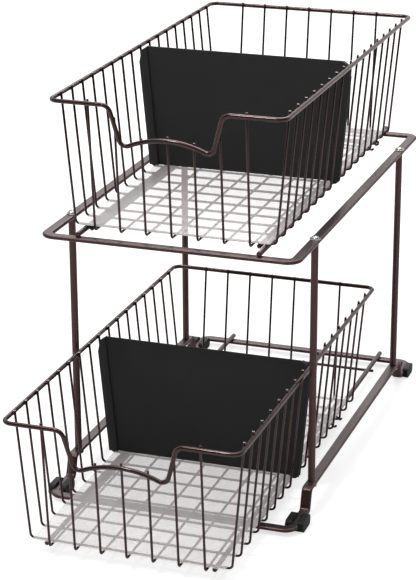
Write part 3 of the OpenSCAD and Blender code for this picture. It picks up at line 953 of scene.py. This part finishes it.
@dataclass(frozen=True)
class StandFrame:
    """Flat oval bars, rails, posts, runners and braces of the stand."""

    shop: Workshop
    layout: Layout
    bar_width: float = 10.4
    bar_steps: int = 10
    bar_ease: float = 0.25
    corner_radius: float = 9
    bend_steps: int = 12
    leg_bend_radius: float = 5
    leg_lean: float = 16
    leg_offset: float = 17.6
    lap_length: float = 10
    lap_gap: float = 0.15
    lap_ease: float = 0.15
    post_diameter: float = 7
    post_wall: float = 1
    post_steps: int = 40
    post_ease: float = 0.2
    runner_front_end: float = 1
    runner_rear_end: float = 8.5
    runner_steps: int = 12
    runner_ease: float = 0.5
    brace_diameter: float = 3.2
    brace_offset: float = 184.3
    brace_length: float = 184
    brace_steps: int = 9
    brace_ease: float = 0.35

    def bar(self, node: str, line: Sequence[Bend], tongues: Sequence[Centreline],
            half: Outline) -> None:
        """Bends a flat bar and adds the half-thick tongues of its lap joints.

        Args:
            node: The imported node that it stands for.
            line: Bends of the bar.
            tongues: Centrelines of its tongues.
            half: Which half of the bar the tongues keep.
        """
        name, finish = "coated_" + node, self.shop.finishes.frame
        whole, lap = (Section(outline, self.bar_width, self.layout.bar_thickness, self.bar_steps)
                      for outline in (Outline.OVAL, half))
        piece = self.shop.stock.make(name, [Centreline(tuple(line))], whole, finish,
                                     bend_steps=self.bend_steps, ease_mm=self.bar_ease)
        ends = self.shop.stock.make(name + "_tongues", tongues, lap, finish,
                                    ease_mm=self.lap_ease)
        work = bmesh.new()
        work.from_mesh(piece.data)
        work.from_mesh(ends.data)
        work.to_mesh(piece.data)
        work.free()
        drop(ends)
        piece.data.set_sharp_from_angle(angle=SMOOTH_ANGLE)
        level_normals(piece)
        place(piece, "stand", "frame_metal", node)

    def ring_bar(self, tier: Tier, end: End) -> None:
        """Bends the U shaped bar at one end of a ring.

        Args:
            tier: Upper or lower ring; the lower one climbs to the rails on two legs.
            end: Front or rear.
        """
        lay = self.layout
        x, bar_y, post_y = lay.stand_width / 2, lay.stand_length / 2, lay.post_spacing / 2
        level, lap_z = lay.bar_level(tier), lay.rail_level(tier)
        arm = [Bend(x, post_y + self.lap_length, lap_z)]
        if tier is Tier.LOWER:
            half_run = lay.leg_rise * math.tan(math.radians(self.leg_lean)) / 2
            middle = post_y + self.leg_offset
            arm += [Bend(x, middle - half_run, lap_z, self.leg_bend_radius),
                    Bend(x, middle + half_run, level, self.leg_bend_radius)]
        arm.append(Bend(x, bar_y, level, self.corner_radius))
        turned = [replace(b, y=lay.stand_middle + end.value * b.y) for b in arm]
        line = turned + [b.mirrored() for b in reversed(turned)]
        tongues = [Centreline(tuple(
            Bend(side.value * x, lay.stand_middle + end.value * y, lap_z)
            for y in (post_y - self.lap_length, post_y + self.lap_length))) for side in Side]
        self.bar(f"{tier.value}_{end.word}_bar", line, tongues, Outline.LOWER_TONGUE)

    def side_rail(self, tier: Tier, side: Side) -> None:
        """Cuts a side rail with its two tongues.

        Args:
            tier: Upper or lower ring.
            side: Left or right.
        """
        lay = self.layout
        x, z = side.value * lay.stand_width / 2, lay.rail_level(tier)
        inner = lay.post_spacing / 2 - self.lap_length - self.lap_gap
        outer = lay.post_spacing / 2 + self.lap_length - self.lap_gap
        line = [Bend(x, lay.stand_middle + y, z) for y in (-inner, inner)]
        tongues = [Centreline(tuple(Bend(x, lay.stand_middle + end.value * y, z)
                                    for y in (inner, outer))) for end in End]
        self.bar(f"{tier.value}_rail_{side.word}", line, tongues, Outline.UPPER_TONGUE)

    def post(self, end: End, side: Side) -> None:
        """Turns a post tube.

        Args:
            end: Front or rear.
            side: Left or right.
        """
        lay = self.layout
        low = lay.rail_level(Tier.LOWER) + lay.bar_thickness / 2
        high = lay.rail_level(Tier.UPPER) - lay.bar_thickness / 2
        outer, ease = self.post_diameter / 2, self.post_ease
        inner = outer - self.post_wall
        node = f"post_{end.word}_{side.word}"
        mesh = lathe(node, [(inner, low), (outer - ease, low), (outer, low + ease),
                            (outer, high - ease), (outer - ease, high), (inner, high)],
                     self.post_steps)
        mesh.transform(Matrix.Translation(lay.post_place(end, side) * MM))
        mesh.materials.append(self.shop.finishes.frame)
        clean(mesh)
        place(link("coated_" + node, mesh), "stand", "frame_metal", node)

    def rod(self, node: str, ends: tuple[Bend, Bend], section: Section, ease_mm: float) -> None:
        """Cuts a straight rod.

        Args:
            node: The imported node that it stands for.
            ends: Its two ends.
            section: Its cross-section.
            ease_mm: Width of the flat put on its ends.
        """
        piece = self.shop.stock.make("coated_" + node, [Centreline(ends)], section,
                                     self.shop.finishes.frame, ease_mm=ease_mm)
        place(piece, "stand", "frame_metal", node)

    def runner(self, tier: Tier, side: Side) -> None:
        """Cuts a runner rod.

        Args:
            tier: Upper or lower ring.
            side: Left or right.
        """
        lay = self.layout
        x, z = side.value * lay.runner_spacing / 2, lay.runner_level(tier)
        front = lay.stand_middle - lay.stand_length / 2 - self.runner_front_end
        rear = lay.stand_middle + lay.stand_length / 2 + self.runner_rear_end
        self.rod(f"{tier.value}_runner_{side.word}", (Bend(x, front, z), Bend(x, rear, z)),
                 Section.wire(lay.runner_diameter, self.runner_steps), self.runner_ease)

    def brace(self, tier: Tier) -> None:
        """Cuts the brace rod under a tier's runners.

        Args:
            tier: Upper or lower ring.
        """
        lay = self.layout
        x, y = self.brace_length / 2, lay.stand_middle + self.brace_offset
        z = lay.runner_level(tier) - (lay.runner_diameter + self.brace_diameter) / 2 + lay.weld
        self.rod(f"{tier.value}_brace", (Bend(-x, y, z), Bend(x, y, z)),
                 Section.wire(self.brace_diameter, self.brace_steps), self.brace_ease)

    def dress(self) -> None:
        """Builds every member of the stand's frame."""
        for tier in Tier:
            for end in End:
                self.ring_bar(tier, end)
            for side in Side:
                self.side_rail(tier, side)
                self.runner(tier, side)
            self.brace(tier)
        for end in End:
            for side in Side:
                self.post(end, side)


@dataclass(frozen=True)
class Feet:
    """The four moulded boots under the lower ring."""

    shop: Workshop
    edge_radius: float = 0.6
    edge_steps: int = 4

    def dress(self) -> None:
        """Rounds the boots' edges and gives them their plastic."""
        for end in End:
            for side in Side:
                node = f"foot_{end.word}_{side.word}"
                foot = frame_copy(node, "moulded_" + node, self.shop.finishes.foot)
                round_edges(foot, self.edge_radius, self.edge_steps)
                place(foot, "stand", "foot_plastic", node)


@dataclass(frozen=True)
class Fasteners:
    """Screws, washers and threaded plugs at the ends of the four posts."""

    shop: Workshop
    layout: Layout
    head_diameter: float = 8.4
    head_height: float = 2.6
    head_ease: float = 0.15
    dome_steps: int = 10
    screw_diameter: float = 4
    screw_length: float = 16
    screw_ease: float = 0.4
    screw_steps: int = 32
    recess_width: float = 1.3
    recess_length: float = 4.4
    recess_depth: float = 1.3
    cutter_over: float = 2
    washer_diameter: float = 10.4
    washer_thickness: float = 1
    washer_ease: float = 0.25
    washer_steps: int = 36

    def screw_blank(self) -> bpy.types.Mesh:
        """Turns one domed screw, its head above z = 0.

        Returns:
            The mesh, without the recess.
        """
        r, h, shank = self.head_diameter / 2, self.head_height, self.screw_diameter / 2
        dome = r * r / (2 * h) + h / 2
        widest = math.asin(min(1, r / dome))
        turns = [widest * (1 - i / self.dome_steps) for i in range(1, self.dome_steps)]
        return lathe("screw", [
            (0, -self.screw_length), (shank - self.screw_ease, -self.screw_length),
            (shank, -self.screw_length + self.screw_ease), (shank, 0), (r - self.head_ease, 0),
            *((dome * math.sin(a), h - dome + dome * math.cos(a)) for a in turns), (0, h)],
            self.screw_steps)

    def screw(self) -> bpy.types.Mesh:
        """Makes one screw with its cross recess.

        Returns:
            The mesh of one screw.
        """
        body = link("screw", self.screw_blank())
        middle = self.head_height + (self.cutter_over - self.recess_depth) / 2
        size = (self.recess_length, self.recess_width, self.recess_depth + self.cutter_over)
        cutters = []
        for turn in (0, math.pi / 2):
            work = bmesh.new()
            bmesh.ops.create_cube(work, size=1)
            cutter = to_mesh(work, "recess")
            cutter.transform(Matrix.Translation((0, 0, middle * MM))
                             @ Matrix.Rotation(turn, 4, "Z")
                             @ Matrix.Diagonal((*(v * MM for v in size), 1)))
            cutters.append(link("recess", cutter))
            modifier = body.modifiers.new("recess", "BOOLEAN")
            modifier.operation = "DIFFERENCE"
            modifier.object = cutters[-1]
        made = apply_modifiers(body)
        drop(body, *cutters)
        return made

    def washer(self) -> bpy.types.Mesh:
        """Turns one washer with eased edges, lying on z = 0.

        Returns:
            The mesh of one washer.
        """
        outer, inner = self.washer_diameter / 2, self.screw_diameter / 2
        top, ease = self.washer_thickness, self.washer_ease
        return lathe("washer", [(inner, 0), (outer - ease, 0), (outer, ease), (outer, top - ease),
                                (outer - ease, top), (inner, top)], self.washer_steps)

    def dress(self) -> None:
        """Sets the screws and washers out at the posts and finishes the plugs inside them."""
        lay = self.layout
        for tier, up, turn in ((Tier.UPPER, 1, (0, 0, 0)), (Tier.LOWER, -1, (math.pi, 0, 0))):
            face = lay.rail_level(tier) + up * lay.bar_thickness / 2
            for kind, shape, lift in (("washers", self.washer(), 0.0),
                                      ("screws", self.screw(), self.washer_thickness)):
                node = f"{tier.value}_{kind}"
                places = [lay.post_place(end, side, face + up * lift)
                          for end in End for side in Side]
                piece = self.shop.set_out.make("plated_" + node, places, shape,
                                               self.shop.finishes.plated, turn)
                place(piece, "stand", "screw_chrome", node)
        for slot in packed("post_plugs").material_slots:
            slot.material = self.shop.finishes.plug
        LOG.info("post_plugs: kept from the frame, %s", self.shop.finishes.plug.name)


# ---------------------------------------------------------------------------------------------
# The baskets
# ---------------------------------------------------------------------------------------------


@dataclass(frozen=True)
class HandleDip:
    """The dip in a basket's front rim: a hump in the middle, a hollow and a flank beside it.

    Places are given sideways from the middle and up from the level rim, along the front wall.
    """

    depth: float = 37.6
    hump_depth: float = 29.4
    hump_radius: float = 89
    low_radius: float = 7
    top_radius: float = 9
    slope: float = 75

    @property
    def flank(self) -> float:
        """Slope of the straight flank, in radians."""
        return math.radians(self.slope)

    @property
    def hump(self) -> float:
        """Half of the hump's arc, in radians."""
        return math.acos(1 - (self.depth - self.hump_depth) / (self.hump_radius + self.low_radius))

    @property
    def hump_end(self) -> tuple[float, float]:
        """Where the hump turns into the hollow."""
        return (self.hump_radius * math.sin(self.hump),
                -self.hump_depth - self.hump_radius * (1 - math.cos(self.hump)))

    @property
    def hollow(self) -> tuple[float, float]:
        """Centre of the hollow's arc."""
        (x, z), r = self.hump_end, self.low_radius
        return x + r * math.sin(self.hump), z + r * math.cos(self.hump)

    @property
    def hollow_end(self) -> tuple[float, float]:
        """Where the hollow turns into the flank."""
        (x, z), r = self.hollow, self.low_radius
        return x + r * math.sin(self.flank), z - r * math.cos(self.flank)

    def corners(self) -> list[Triple]:
        """Corners of the dip's right half, from the level rim to the hump's middle.

        Returns:
            Place sideways, place up and bend radius of each corner.
        """
        end_x, end_z = self.hump_end
        low_x, low_z = self.hollow_end
        reach = self.low_radius * math.tan((self.flank + self.hump) / 2)
        low_x, low_z = low_x - reach * math.cos(self.flank), low_z - reach * math.sin(self.flank)
        return [(low_x - low_z / math.tan(self.flank), 0.0, self.top_radius),
                (low_x, low_z, self.low_radius),
                (0.0, end_z + end_x * math.tan(self.hump), self.hump_radius)]

    def depth_at(self, x: float) -> float:
        """Depth of the rim below its level line.

        Args:
            x: Sideways distance from the middle, on either side.

        Returns:
            The depth, measured along the front wall.
        """
        x = abs(x)
        end_x, _ = self.hump_end
        centre_x, centre_z = self.hollow
        low_x, low_z = self.hollow_end
        steep, drop_top = math.tan(self.flank), self.top_radius * (1 - math.cos(self.flank))
        top_x = low_x - (low_z + drop_top) / steep
        level_x = top_x + self.top_radius * math.sin(self.flank)
        if x <= end_x:
            return self.hump_depth + self.hump_radius - math.sqrt(self.hump_radius ** 2 - x * x)
        if x <= low_x:
            return -centre_z + math.sqrt(self.low_radius ** 2 - (x - centre_x) ** 2)
        if x <= top_x:
            return -low_z - (x - low_x) * steep
        if x <= level_x:
            return self.top_radius - math.sqrt(self.top_radius ** 2 - (level_x - x) ** 2)
        return 0.0


@dataclass(frozen=True)
class WireBasket:
    """One welded wire basket with its guide rods and runner hooks."""

    shop: Workshop
    layout: Layout
    tier: Tier
    dip: HandleDip = HandleDip()
    cross_count: int = 17
    wire_pitch: float = 25
    long_count: int = 7
    long_pitch: float = 25.1
    wire_bend: float = 4
    wire_steps: int = 6
    wire_ease: float = 0.25
    rim_diameter: float = 4.2
    rim_width: float = 224
    rim_front: float = 22
    rim_rear: float = 26.8
    rim_corner: float = 9
    rim_steps: int = 9
    rim_bend_steps: int = 12
    floor_width: float = 195.6
    floor_end: float = 8.5
    basket_height: float = 121.8
    tip_height: float = 3.3
    guide_spacing: float = 163.2
    guide_diameter: float = 4.5
    guide_end: float = 1.5
    guide_steps: int = 9
    guide_ease: float = 0.45
    hook_front: float = 336
    hook_spread: float = 20
    hook_bend: float = 2
    hook_length: float = 26
    hook_gap: float = 1.2
    hook_curl: float = 60
    hook_drop: float = 0.6
    hook_end: float = 0.8
    hook_steps: int = 7
    nugget: float = 1.5
    nugget_shares: Triple = (0.85, 0.85, 1.25)
    nugget_rounds: int = 2
    nugget_spread: float = 0.3
    nugget_seed: int = 11

    @property
    def body(self) -> str:
        """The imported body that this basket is."""
        return f"{self.tier.word}_basket"

    @property
    def start(self) -> float:
        """First cross wire, from the basket's middle."""
        return -self.wire_pitch * (self.cross_count - 1) / 2

    @property
    def long_places(self) -> list[float]:
        """Where the lengthwise wires lie, sideways from the middle."""
        return [(i - (self.long_count - 1) / 2) * self.long_pitch for i in range(self.long_count)]

    @property
    def long_drop(self) -> float:
        """Lengthwise wires below the cross wires."""
        return self.layout.wire_diameter - self.layout.weld

    @property
    def rim_gap(self) -> float:
        """Distance between the rim's centre and the wires welded inside it."""
        return (self.rim_diameter + self.layout.wire_diameter) / 2 - self.layout.weld

    def slope(self, end: End) -> float:
        """Lean of the front or rear wall from upright, as its tangent."""
        past = self.rim_front if end is End.FRONT else self.rim_rear
        return (past - self.rim_gap - self.floor_end) / (self.basket_height + self.long_drop)

    def at(self, x: float, y: float, z: float, radius: float = 0.0) -> Bend:
        """A bend given from the basket's middle and its floor wires.

        Args:
            x: Sideways from the middle.
            y: Along the basket from its middle cross wire.
            z: Above the cross wires of the floor.
            radius: Radius of the bend.

        Returns:
            The bend in the frame's millimetres.
        """
        return Bend(x, self.layout.basket_middle(self.tier) + y,
                    self.layout.floor_level(self.tier) + z, radius)

    def front_rim(self, x: float, up: float, radius: float = 0.0) -> Bend:
        """A bend on the front wall's rim plane.

        Args:
            x: Sideways from the middle.
            up: Above the level rim, along the front wall.
            radius: Radius of the bend.

        Returns:
            The bend in the frame's millimetres.
        """
        lean = math.atan(self.slope(End.FRONT))
        return self.at(x, self.start - self.rim_front - up * math.sin(lean),
                       self.basket_height + up * math.cos(lean), radius)

    def wire(self, node: str, lines: Sequence[Centreline], section: Section,
             **options: Any) -> None:
        """Makes one set of wires of this basket.

        Args:
            node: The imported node's name without the tier.
            lines: Centrelines of the wires.
            section: Their cross-section.
            **options: More for BentStock.make.
        """
        name = f"{self.tier.word}_{node}"
        piece = self.shop.stock.make("coated_" + name, lines, section, self.shop.finishes.wire,
                                     **options)
        place(piece, self.body, "basket_wire", name)

    def rim(self) -> None:
        """Bends the closed rim with its handle dip."""
        front, rear = (self.at(self.rim_width / 2, y, self.basket_height, self.rim_corner)
                       for y in (self.start - self.rim_front, -self.start + self.rim_rear))
        right = [rear, front, *(self.front_rim(*corner) for corner in self.dip.corners())]
        left = [bend.mirrored() for bend in reversed(right[:-1])]
        self.wire("rim", [Centreline((*right, *left), closed=True)],
                  Section.wire(self.rim_diameter, self.rim_steps), bend_steps=self.rim_bend_steps)

    def cross_wires(self) -> None:
        """Bends a cross wire and sets its copies a mesh pitch apart."""
        tip, half = self.basket_height + self.tip_height, self.floor_width / 2
        lean = (self.rim_width / 2 - self.rim_gap - half) / self.basket_height
        right = [self.at(half + tip * lean, self.start, tip),
                 self.at(half, self.start, 0, self.wire_bend)]
        line = Centreline((*(bend.mirrored() for bend in right), *reversed(right)))
        self.wire("cross_wires", [line], Section.wire(self.layout.wire_diameter, self.wire_steps),
                  copies=self.cross_count, spacing=(0, self.wire_pitch, 0),
                  ease_mm=self.wire_ease)

    def long_wires(self) -> None:
        """Bends the lengthwise wires, each as tall as the rim above its front end."""
        end, base = self.floor_end - self.start, -self.long_drop
        rear = self.basket_height + self.long_drop + self.tip_height
        lean = math.cos(math.atan(self.slope(End.FRONT)))
        lines = []
        for x in self.long_places:
            front = rear - self.dip.depth_at(x) * lean
            lines.append(Centreline((
                self.at(x, -end - front * self.slope(End.FRONT), base + front),
                self.at(x, -end, base, self.wire_bend), self.at(x, end, base, self.wire_bend),
                self.at(x, end + rear * self.slope(End.REAR), base + rear))))
        self.wire("long_wires", lines, Section.wire(self.layout.wire_diameter, self.wire_steps),
                  ease_mm=self.wire_ease)

    def guide_rods(self) -> None:
        """Cuts the two guide rods under the floor."""
        z = self.layout.weld - (self.layout.wire_diameter + self.guide_diameter) / 2
        reach = self.guide_end - self.start
        lines = [Centreline(tuple(self.at(side.value * self.guide_spacing / 2, y, z)
                                  for y in (-reach, reach))) for side in Side]
        self.wire("guide_rods", lines, Section.wire(self.guide_diameter, self.guide_steps),
                  ease_mm=self.guide_ease)

    def hooks(self) -> None:
        """Bends the two pairs of hooks, whose curled tips stand beside the runners."""
        lay = self.layout
        turn_x = (lay.runner_spacing + lay.runner_diameter + lay.wire_diameter) / 2 + self.hook_gap
        curl, r = math.radians(self.hook_curl), self.hook_bend
        # The curl's corners: where the tip leaves the level, its lowest point and its end.
        down = r * math.tan(curl / 2) + self.hook_drop + r * math.tan(curl)
        up = r * math.tan(curl) + self.hook_end
        first_x = turn_x + r * math.tan(curl / 2)
        low_x, low_z = first_x + down * math.cos(curl), -down * math.sin(curl)
        profile = [(turn_x - self.hook_length, 0.0, 0.0), (first_x, 0.0, r), (low_x, low_z, r),
                   (low_x + up * math.cos(curl), low_z + up * math.sin(curl), 0.0)]
        lines = [Centreline(tuple(self.at(side.value * x, self.start + y, z, bend)
                                  for x, z, bend in profile))
                 for side in Side for y in (self.hook_front, self.hook_front + self.hook_spread)]
        self.wire("hooks", lines, Section.wire(lay.wire_diameter, self.hook_steps),
                  bend_steps=self.hook_steps, ease_mm=self.wire_ease)

    def weld_nuggets(self) -> None:
        """Sets small nuggets of weld out where the wires meet the rim."""
        inset = self.rim_diameter / 2 - self.layout.weld
        spots = [self.at(side.value * (self.rim_width / 2 - inset),
                         self.start + i * self.wire_pitch, self.basket_height).point
                 for i in range(self.cross_count) for side in Side]
        for x in self.long_places:
            spots += [self.front_rim(x, -self.dip.depth_at(x)).point + Vector((0, inset, 0)),
                      self.at(x, -self.start + self.rim_rear - inset, self.basket_height).point]
        work = bmesh.new()
        bmesh.ops.create_icosphere(work, subdivisions=self.nugget_rounds, radius=self.nugget * MM)
        bmesh.ops.scale(work, vec=self.nugget_shares, verts=work.verts)
        piece = self.shop.set_out.make(f"{self.tier.word}_weld_nuggets", spots,
                                       to_mesh(work, "nugget"), self.shop.finishes.wire,
                                       spread=self.nugget_spread, seed=self.nugget_seed)
        place(piece, self.body, "basket_wire")

    def dress(self) -> None:
        """Builds every wire of the basket."""
        self.rim()
        self.cross_wires()
        self.long_wires()
        self.guide_rods()
        self.hooks()
        self.weld_nuggets()


@dataclass(frozen=True)
class Liner:
    """The frosted sheet on a basket's floor."""

    shop: Workshop
    tier: Tier
    corner_radius: float = 3.0
    corner_steps: int = 6
    edge_ease: float = 0.12

    def dress(self) -> None:
        """Cuts the sheet with rounded corners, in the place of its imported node."""
        node = f"{self.tier.word}_liner"
        low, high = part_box(node)
        r = self.corner_radius * MM
        ring = []
        for cx, cy, first in ((high.x - r, high.y - r, 0), (low.x + r, high.y - r, 90),
                              (low.x + r, low.y + r, 180), (high.x - r, low.y + r, 270)):
            turns = [math.radians(first + 90 * i / self.corner_steps)
                     for i in range(self.corner_steps + 1)]
            ring += [(cx + r * math.cos(a), cy + r * math.sin(a)) for a in turns]
        work = bmesh.new()
        rows = [[work.verts.new((x, y, z)) for x, y in ring] for z in (low.z, high.z)]
        work.faces.new(reversed(rows[0]))
        work.faces.new(rows[1])
        for i in range(len(ring)):
            j = (i + 1) % len(ring)
            work.faces.new((rows[0][i], rows[0][j], rows[1][j], rows[1][i]))
        mesh = to_mesh(work, node)
        mesh.materials.append(self.shop.finishes.liner)
        clean(mesh, self.edge_ease)
        place(link("frosted_" + node, mesh), f"{self.tier.word}_basket", "liner_plastic", node)


@dataclass(frozen=True)
class Divider:
    """The moulded panel clipped across a basket."""

    shop: Workshop
    tier: Tier
    edge_radius: float = 0.3
    edge_steps: int = 3

    def dress(self) -> None:
        """Rounds the panel's moulded edges and gives it its plastic."""
        node = f"{self.tier.word}_divider"
        panel = frame_copy(node, "moulded_" + node, self.shop.finishes.divider)
        round_edges(panel, self.edge_radius, self.edge_steps)
        place(panel, f"{node}_panel", "divider_plastic", node)


# ---------------------------------------------------------------------------------------------
# The studio
# ---------------------------------------------------------------------------------------------


@dataclass(frozen=True)
class Lamp:
    """One square soft lamp, with its places and size in metres and its power in watts."""

    name: str
    spot: Triple
    size: float
    power: float
    aim: Triple = (0.0, 0.0, 0.2)

    def hang(self) -> None:
        """Hangs the lamp and aims it at the object."""
        data = bpy.data.lights.new(self.name, "AREA")
        data.shape, data.size, data.energy = "SQUARE", self.size, self.power
        lamp = bpy.data.objects.new(self.name, data)
        lamp.location = self.spot
        lamp.rotation_mode = "QUATERNION"
        lamp.rotation_quaternion = (Vector(self.aim) - Vector(self.spot)).to_track_quat("-Z", "Y")
        bpy.context.scene.collection.objects.link(lamp)


@dataclass(frozen=True)
class Studio:
    """Floor, white surroundings, lamps and camera."""

    camera_mm: Triple = (607.84, -1773.01, 854.98)
    azimuth: float = 18.864
    elevation: float = 20.192
    roll: float = -0.07
    lens: float = 124.2
    sensor: float = 36.0
    shift: tuple[float, float] = (-0.0320, 0.0171)
    clip: tuple[float, float] = (0.05, 60)
    floor_size: float = 12.0
    floor_colour: str = "#e8e8e8"
    floor_glow: float = 1.6
    floor_share: float = 0.42
    sky: float = 0.75
    front_gloss: float = 0.1
    back_gloss: float = 1.0
    gloss_tilt: float = 0.25  # how far the bright half of the room leans upwards
    gloss_reach: tuple[float, float] = (-0.3, 0.5)  # from the dim half to the bright one
    softbox: float = 2.5
    softbox_reach: tuple[float, float] = (0.78, 0.94)  # height of a direction, 1 is overhead
    lamps: tuple[Lamp, ...] = (Lamp("back_lamp", (-0.5, 2.2, 2.4), 1.6, 50),
                               Lamp("key_lamp", (-0.7, -1.4, 2.8), 0.35, 32))

    def camera(self) -> None:
        """Stands the camera where the photograph was taken from."""
        data = bpy.data.cameras.new("camera")
        data.lens, data.sensor_width, data.sensor_fit = self.lens, self.sensor, "AUTO"
        data.shift_x, data.shift_y = self.shift
        data.clip_start, data.clip_end = self.clip
        camera = bpy.data.objects.new("camera", data)
        a, e = math.radians(self.azimuth), math.radians(self.elevation)
        ahead = Vector((-math.sin(a) * math.cos(e), math.cos(a) * math.cos(e), -math.sin(e)))
        turn = ahead.to_track_quat("-Z", "Y").to_matrix().to_4x4()
        camera.matrix_world = (Matrix.Translation(Vector(self.camera_mm) * MM) @ turn
                               @ Matrix.Rotation(math.radians(self.roll), 4, "Z"))
        bpy.context.scene.collection.objects.link(camera)
        bpy.context.scene.camera = camera

    def floor(self) -> None:
        """Lays the white floor, which keeps a light shadow of the object."""
        half = self.floor_size / 2
        mesh = bpy.data.meshes.new("floor")
        mesh.from_pydata([(-half, -half, 0), (half, -half, 0), (half, half, 0), (-half, half, 0)],
                         [], [(0, 1, 2, 3)])
        material, tree = new_material("white_paper_sweep")
        matt = add_node(tree, "ShaderNodeBsdfDiffuse", {"Color": linear(self.floor_colour)})
        glow = add_node(tree, "ShaderNodeEmission", {"Color": WHITE, "Strength": self.floor_glow})
        share = add_node(tree, "ShaderNodeMath", {0: seen_directly(tree), 1: self.floor_share},
                         operation="MULTIPLY")
        both = add_node(tree, "ShaderNodeMixShader", {
            0: share.outputs[0], 1: matt.outputs["BSDF"], 2: glow.outputs["Emission"]})
        add_node(tree, "ShaderNodeOutputMaterial", {"Surface": both.outputs["Shader"]})
        mesh.materials.append(material)
        link("floor", mesh)

    def world(self) -> None:
        """Sets the white surroundings.

        Their reflection is dim on the camera's side of the room and bright overhead, where the
        studio's softbox hangs.
        """
        world = bpy.data.worlds.new("white_room")
        bpy.context.scene.world = world
        world.use_nodes = True
        tree = world.node_tree
        tree.nodes.clear()
        a = math.radians(self.azimuth)
        way = add_node(tree, "ShaderNodeTexCoord").outputs["Generated"]
        behind = add_node(tree, "ShaderNodeVectorMath", {
            0: way, 1: (-math.sin(a), math.cos(a), self.gloss_tilt)}, operation="DOT_PRODUCT")
        room_gloss = add_node(tree, "ShaderNodeMapRange", {
            "Value": behind.outputs["Value"], "From Min": self.gloss_reach[0],
            "From Max": self.gloss_reach[1], "To Min": self.front_gloss,
            "To Max": self.back_gloss}, interpolation_type="SMOOTHSTEP")
        height = add_node(tree, "ShaderNodeSeparateXYZ", {"Vector": way}).outputs["Z"]
        softbox = add_node(tree, "ShaderNodeMapRange", {
            "Value": height, "From Min": self.softbox_reach[0],
            "From Max": self.softbox_reach[1], "To Max": self.softbox},
            interpolation_type="SMOOTHSTEP")
        bright = add_node(tree, "ShaderNodeMath", {
            0: room_gloss.outputs["Result"], 1: softbox.outputs["Result"]}, operation="ADD")
        path = add_node(tree, "ShaderNodeLightPath")
        glossy = add_node(tree, "ShaderNodeMix", {
            "Factor": path.outputs["Is Glossy Ray"], MIX_FLOAT_A: self.sky,
            MIX_FLOAT_B: bright.outputs[0]}, data_type="FLOAT")
        level = add_node(tree, "ShaderNodeMix", {
            "Factor": seen_directly(tree), MIX_FLOAT_A: glossy.outputs[MIX_FLOAT_OUT],
            MIX_FLOAT_B: 1.0}, data_type="FLOAT")
        room = add_node(tree, "ShaderNodeBackground", {
            "Color": WHITE, "Strength": level.outputs[MIX_FLOAT_OUT]})
        add_node(tree, "ShaderNodeOutputWorld", {"Surface": room.outputs["Background"]})

    def build(self) -> None:
        """Builds the whole studio."""
        self.camera()
        self.floor()
        self.world()
        for lamp in self.lamps:
            lamp.hang()
        bpy.context.scene.view_settings.view_transform = "Standard"


def corners(box: tuple[Vector, Vector]) -> list[list[float]]:
    """A box's two corners as plain lists."""
    return [list(corner) for corner in box]


def main() -> None:
    """Loads the frame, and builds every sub-assembly."""
    logging.basicConfig(level=logging.INFO, format="%(name)s: %(message)s")
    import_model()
    Studio().build()
    shop = Workshop(BentStock(), SetOut(), Finishes.build())
    layout = Layout()
    StandFrame(shop, layout).dress()
    Feet(shop).dress()
    Fasteners(shop, layout).dress()
    for tier in Tier:
        WireBasket(shop, layout, tier).dress()
        Liner(shop, tier).dress()
        Divider(shop, tier).dress()


if __name__ == "__main__":
    main()
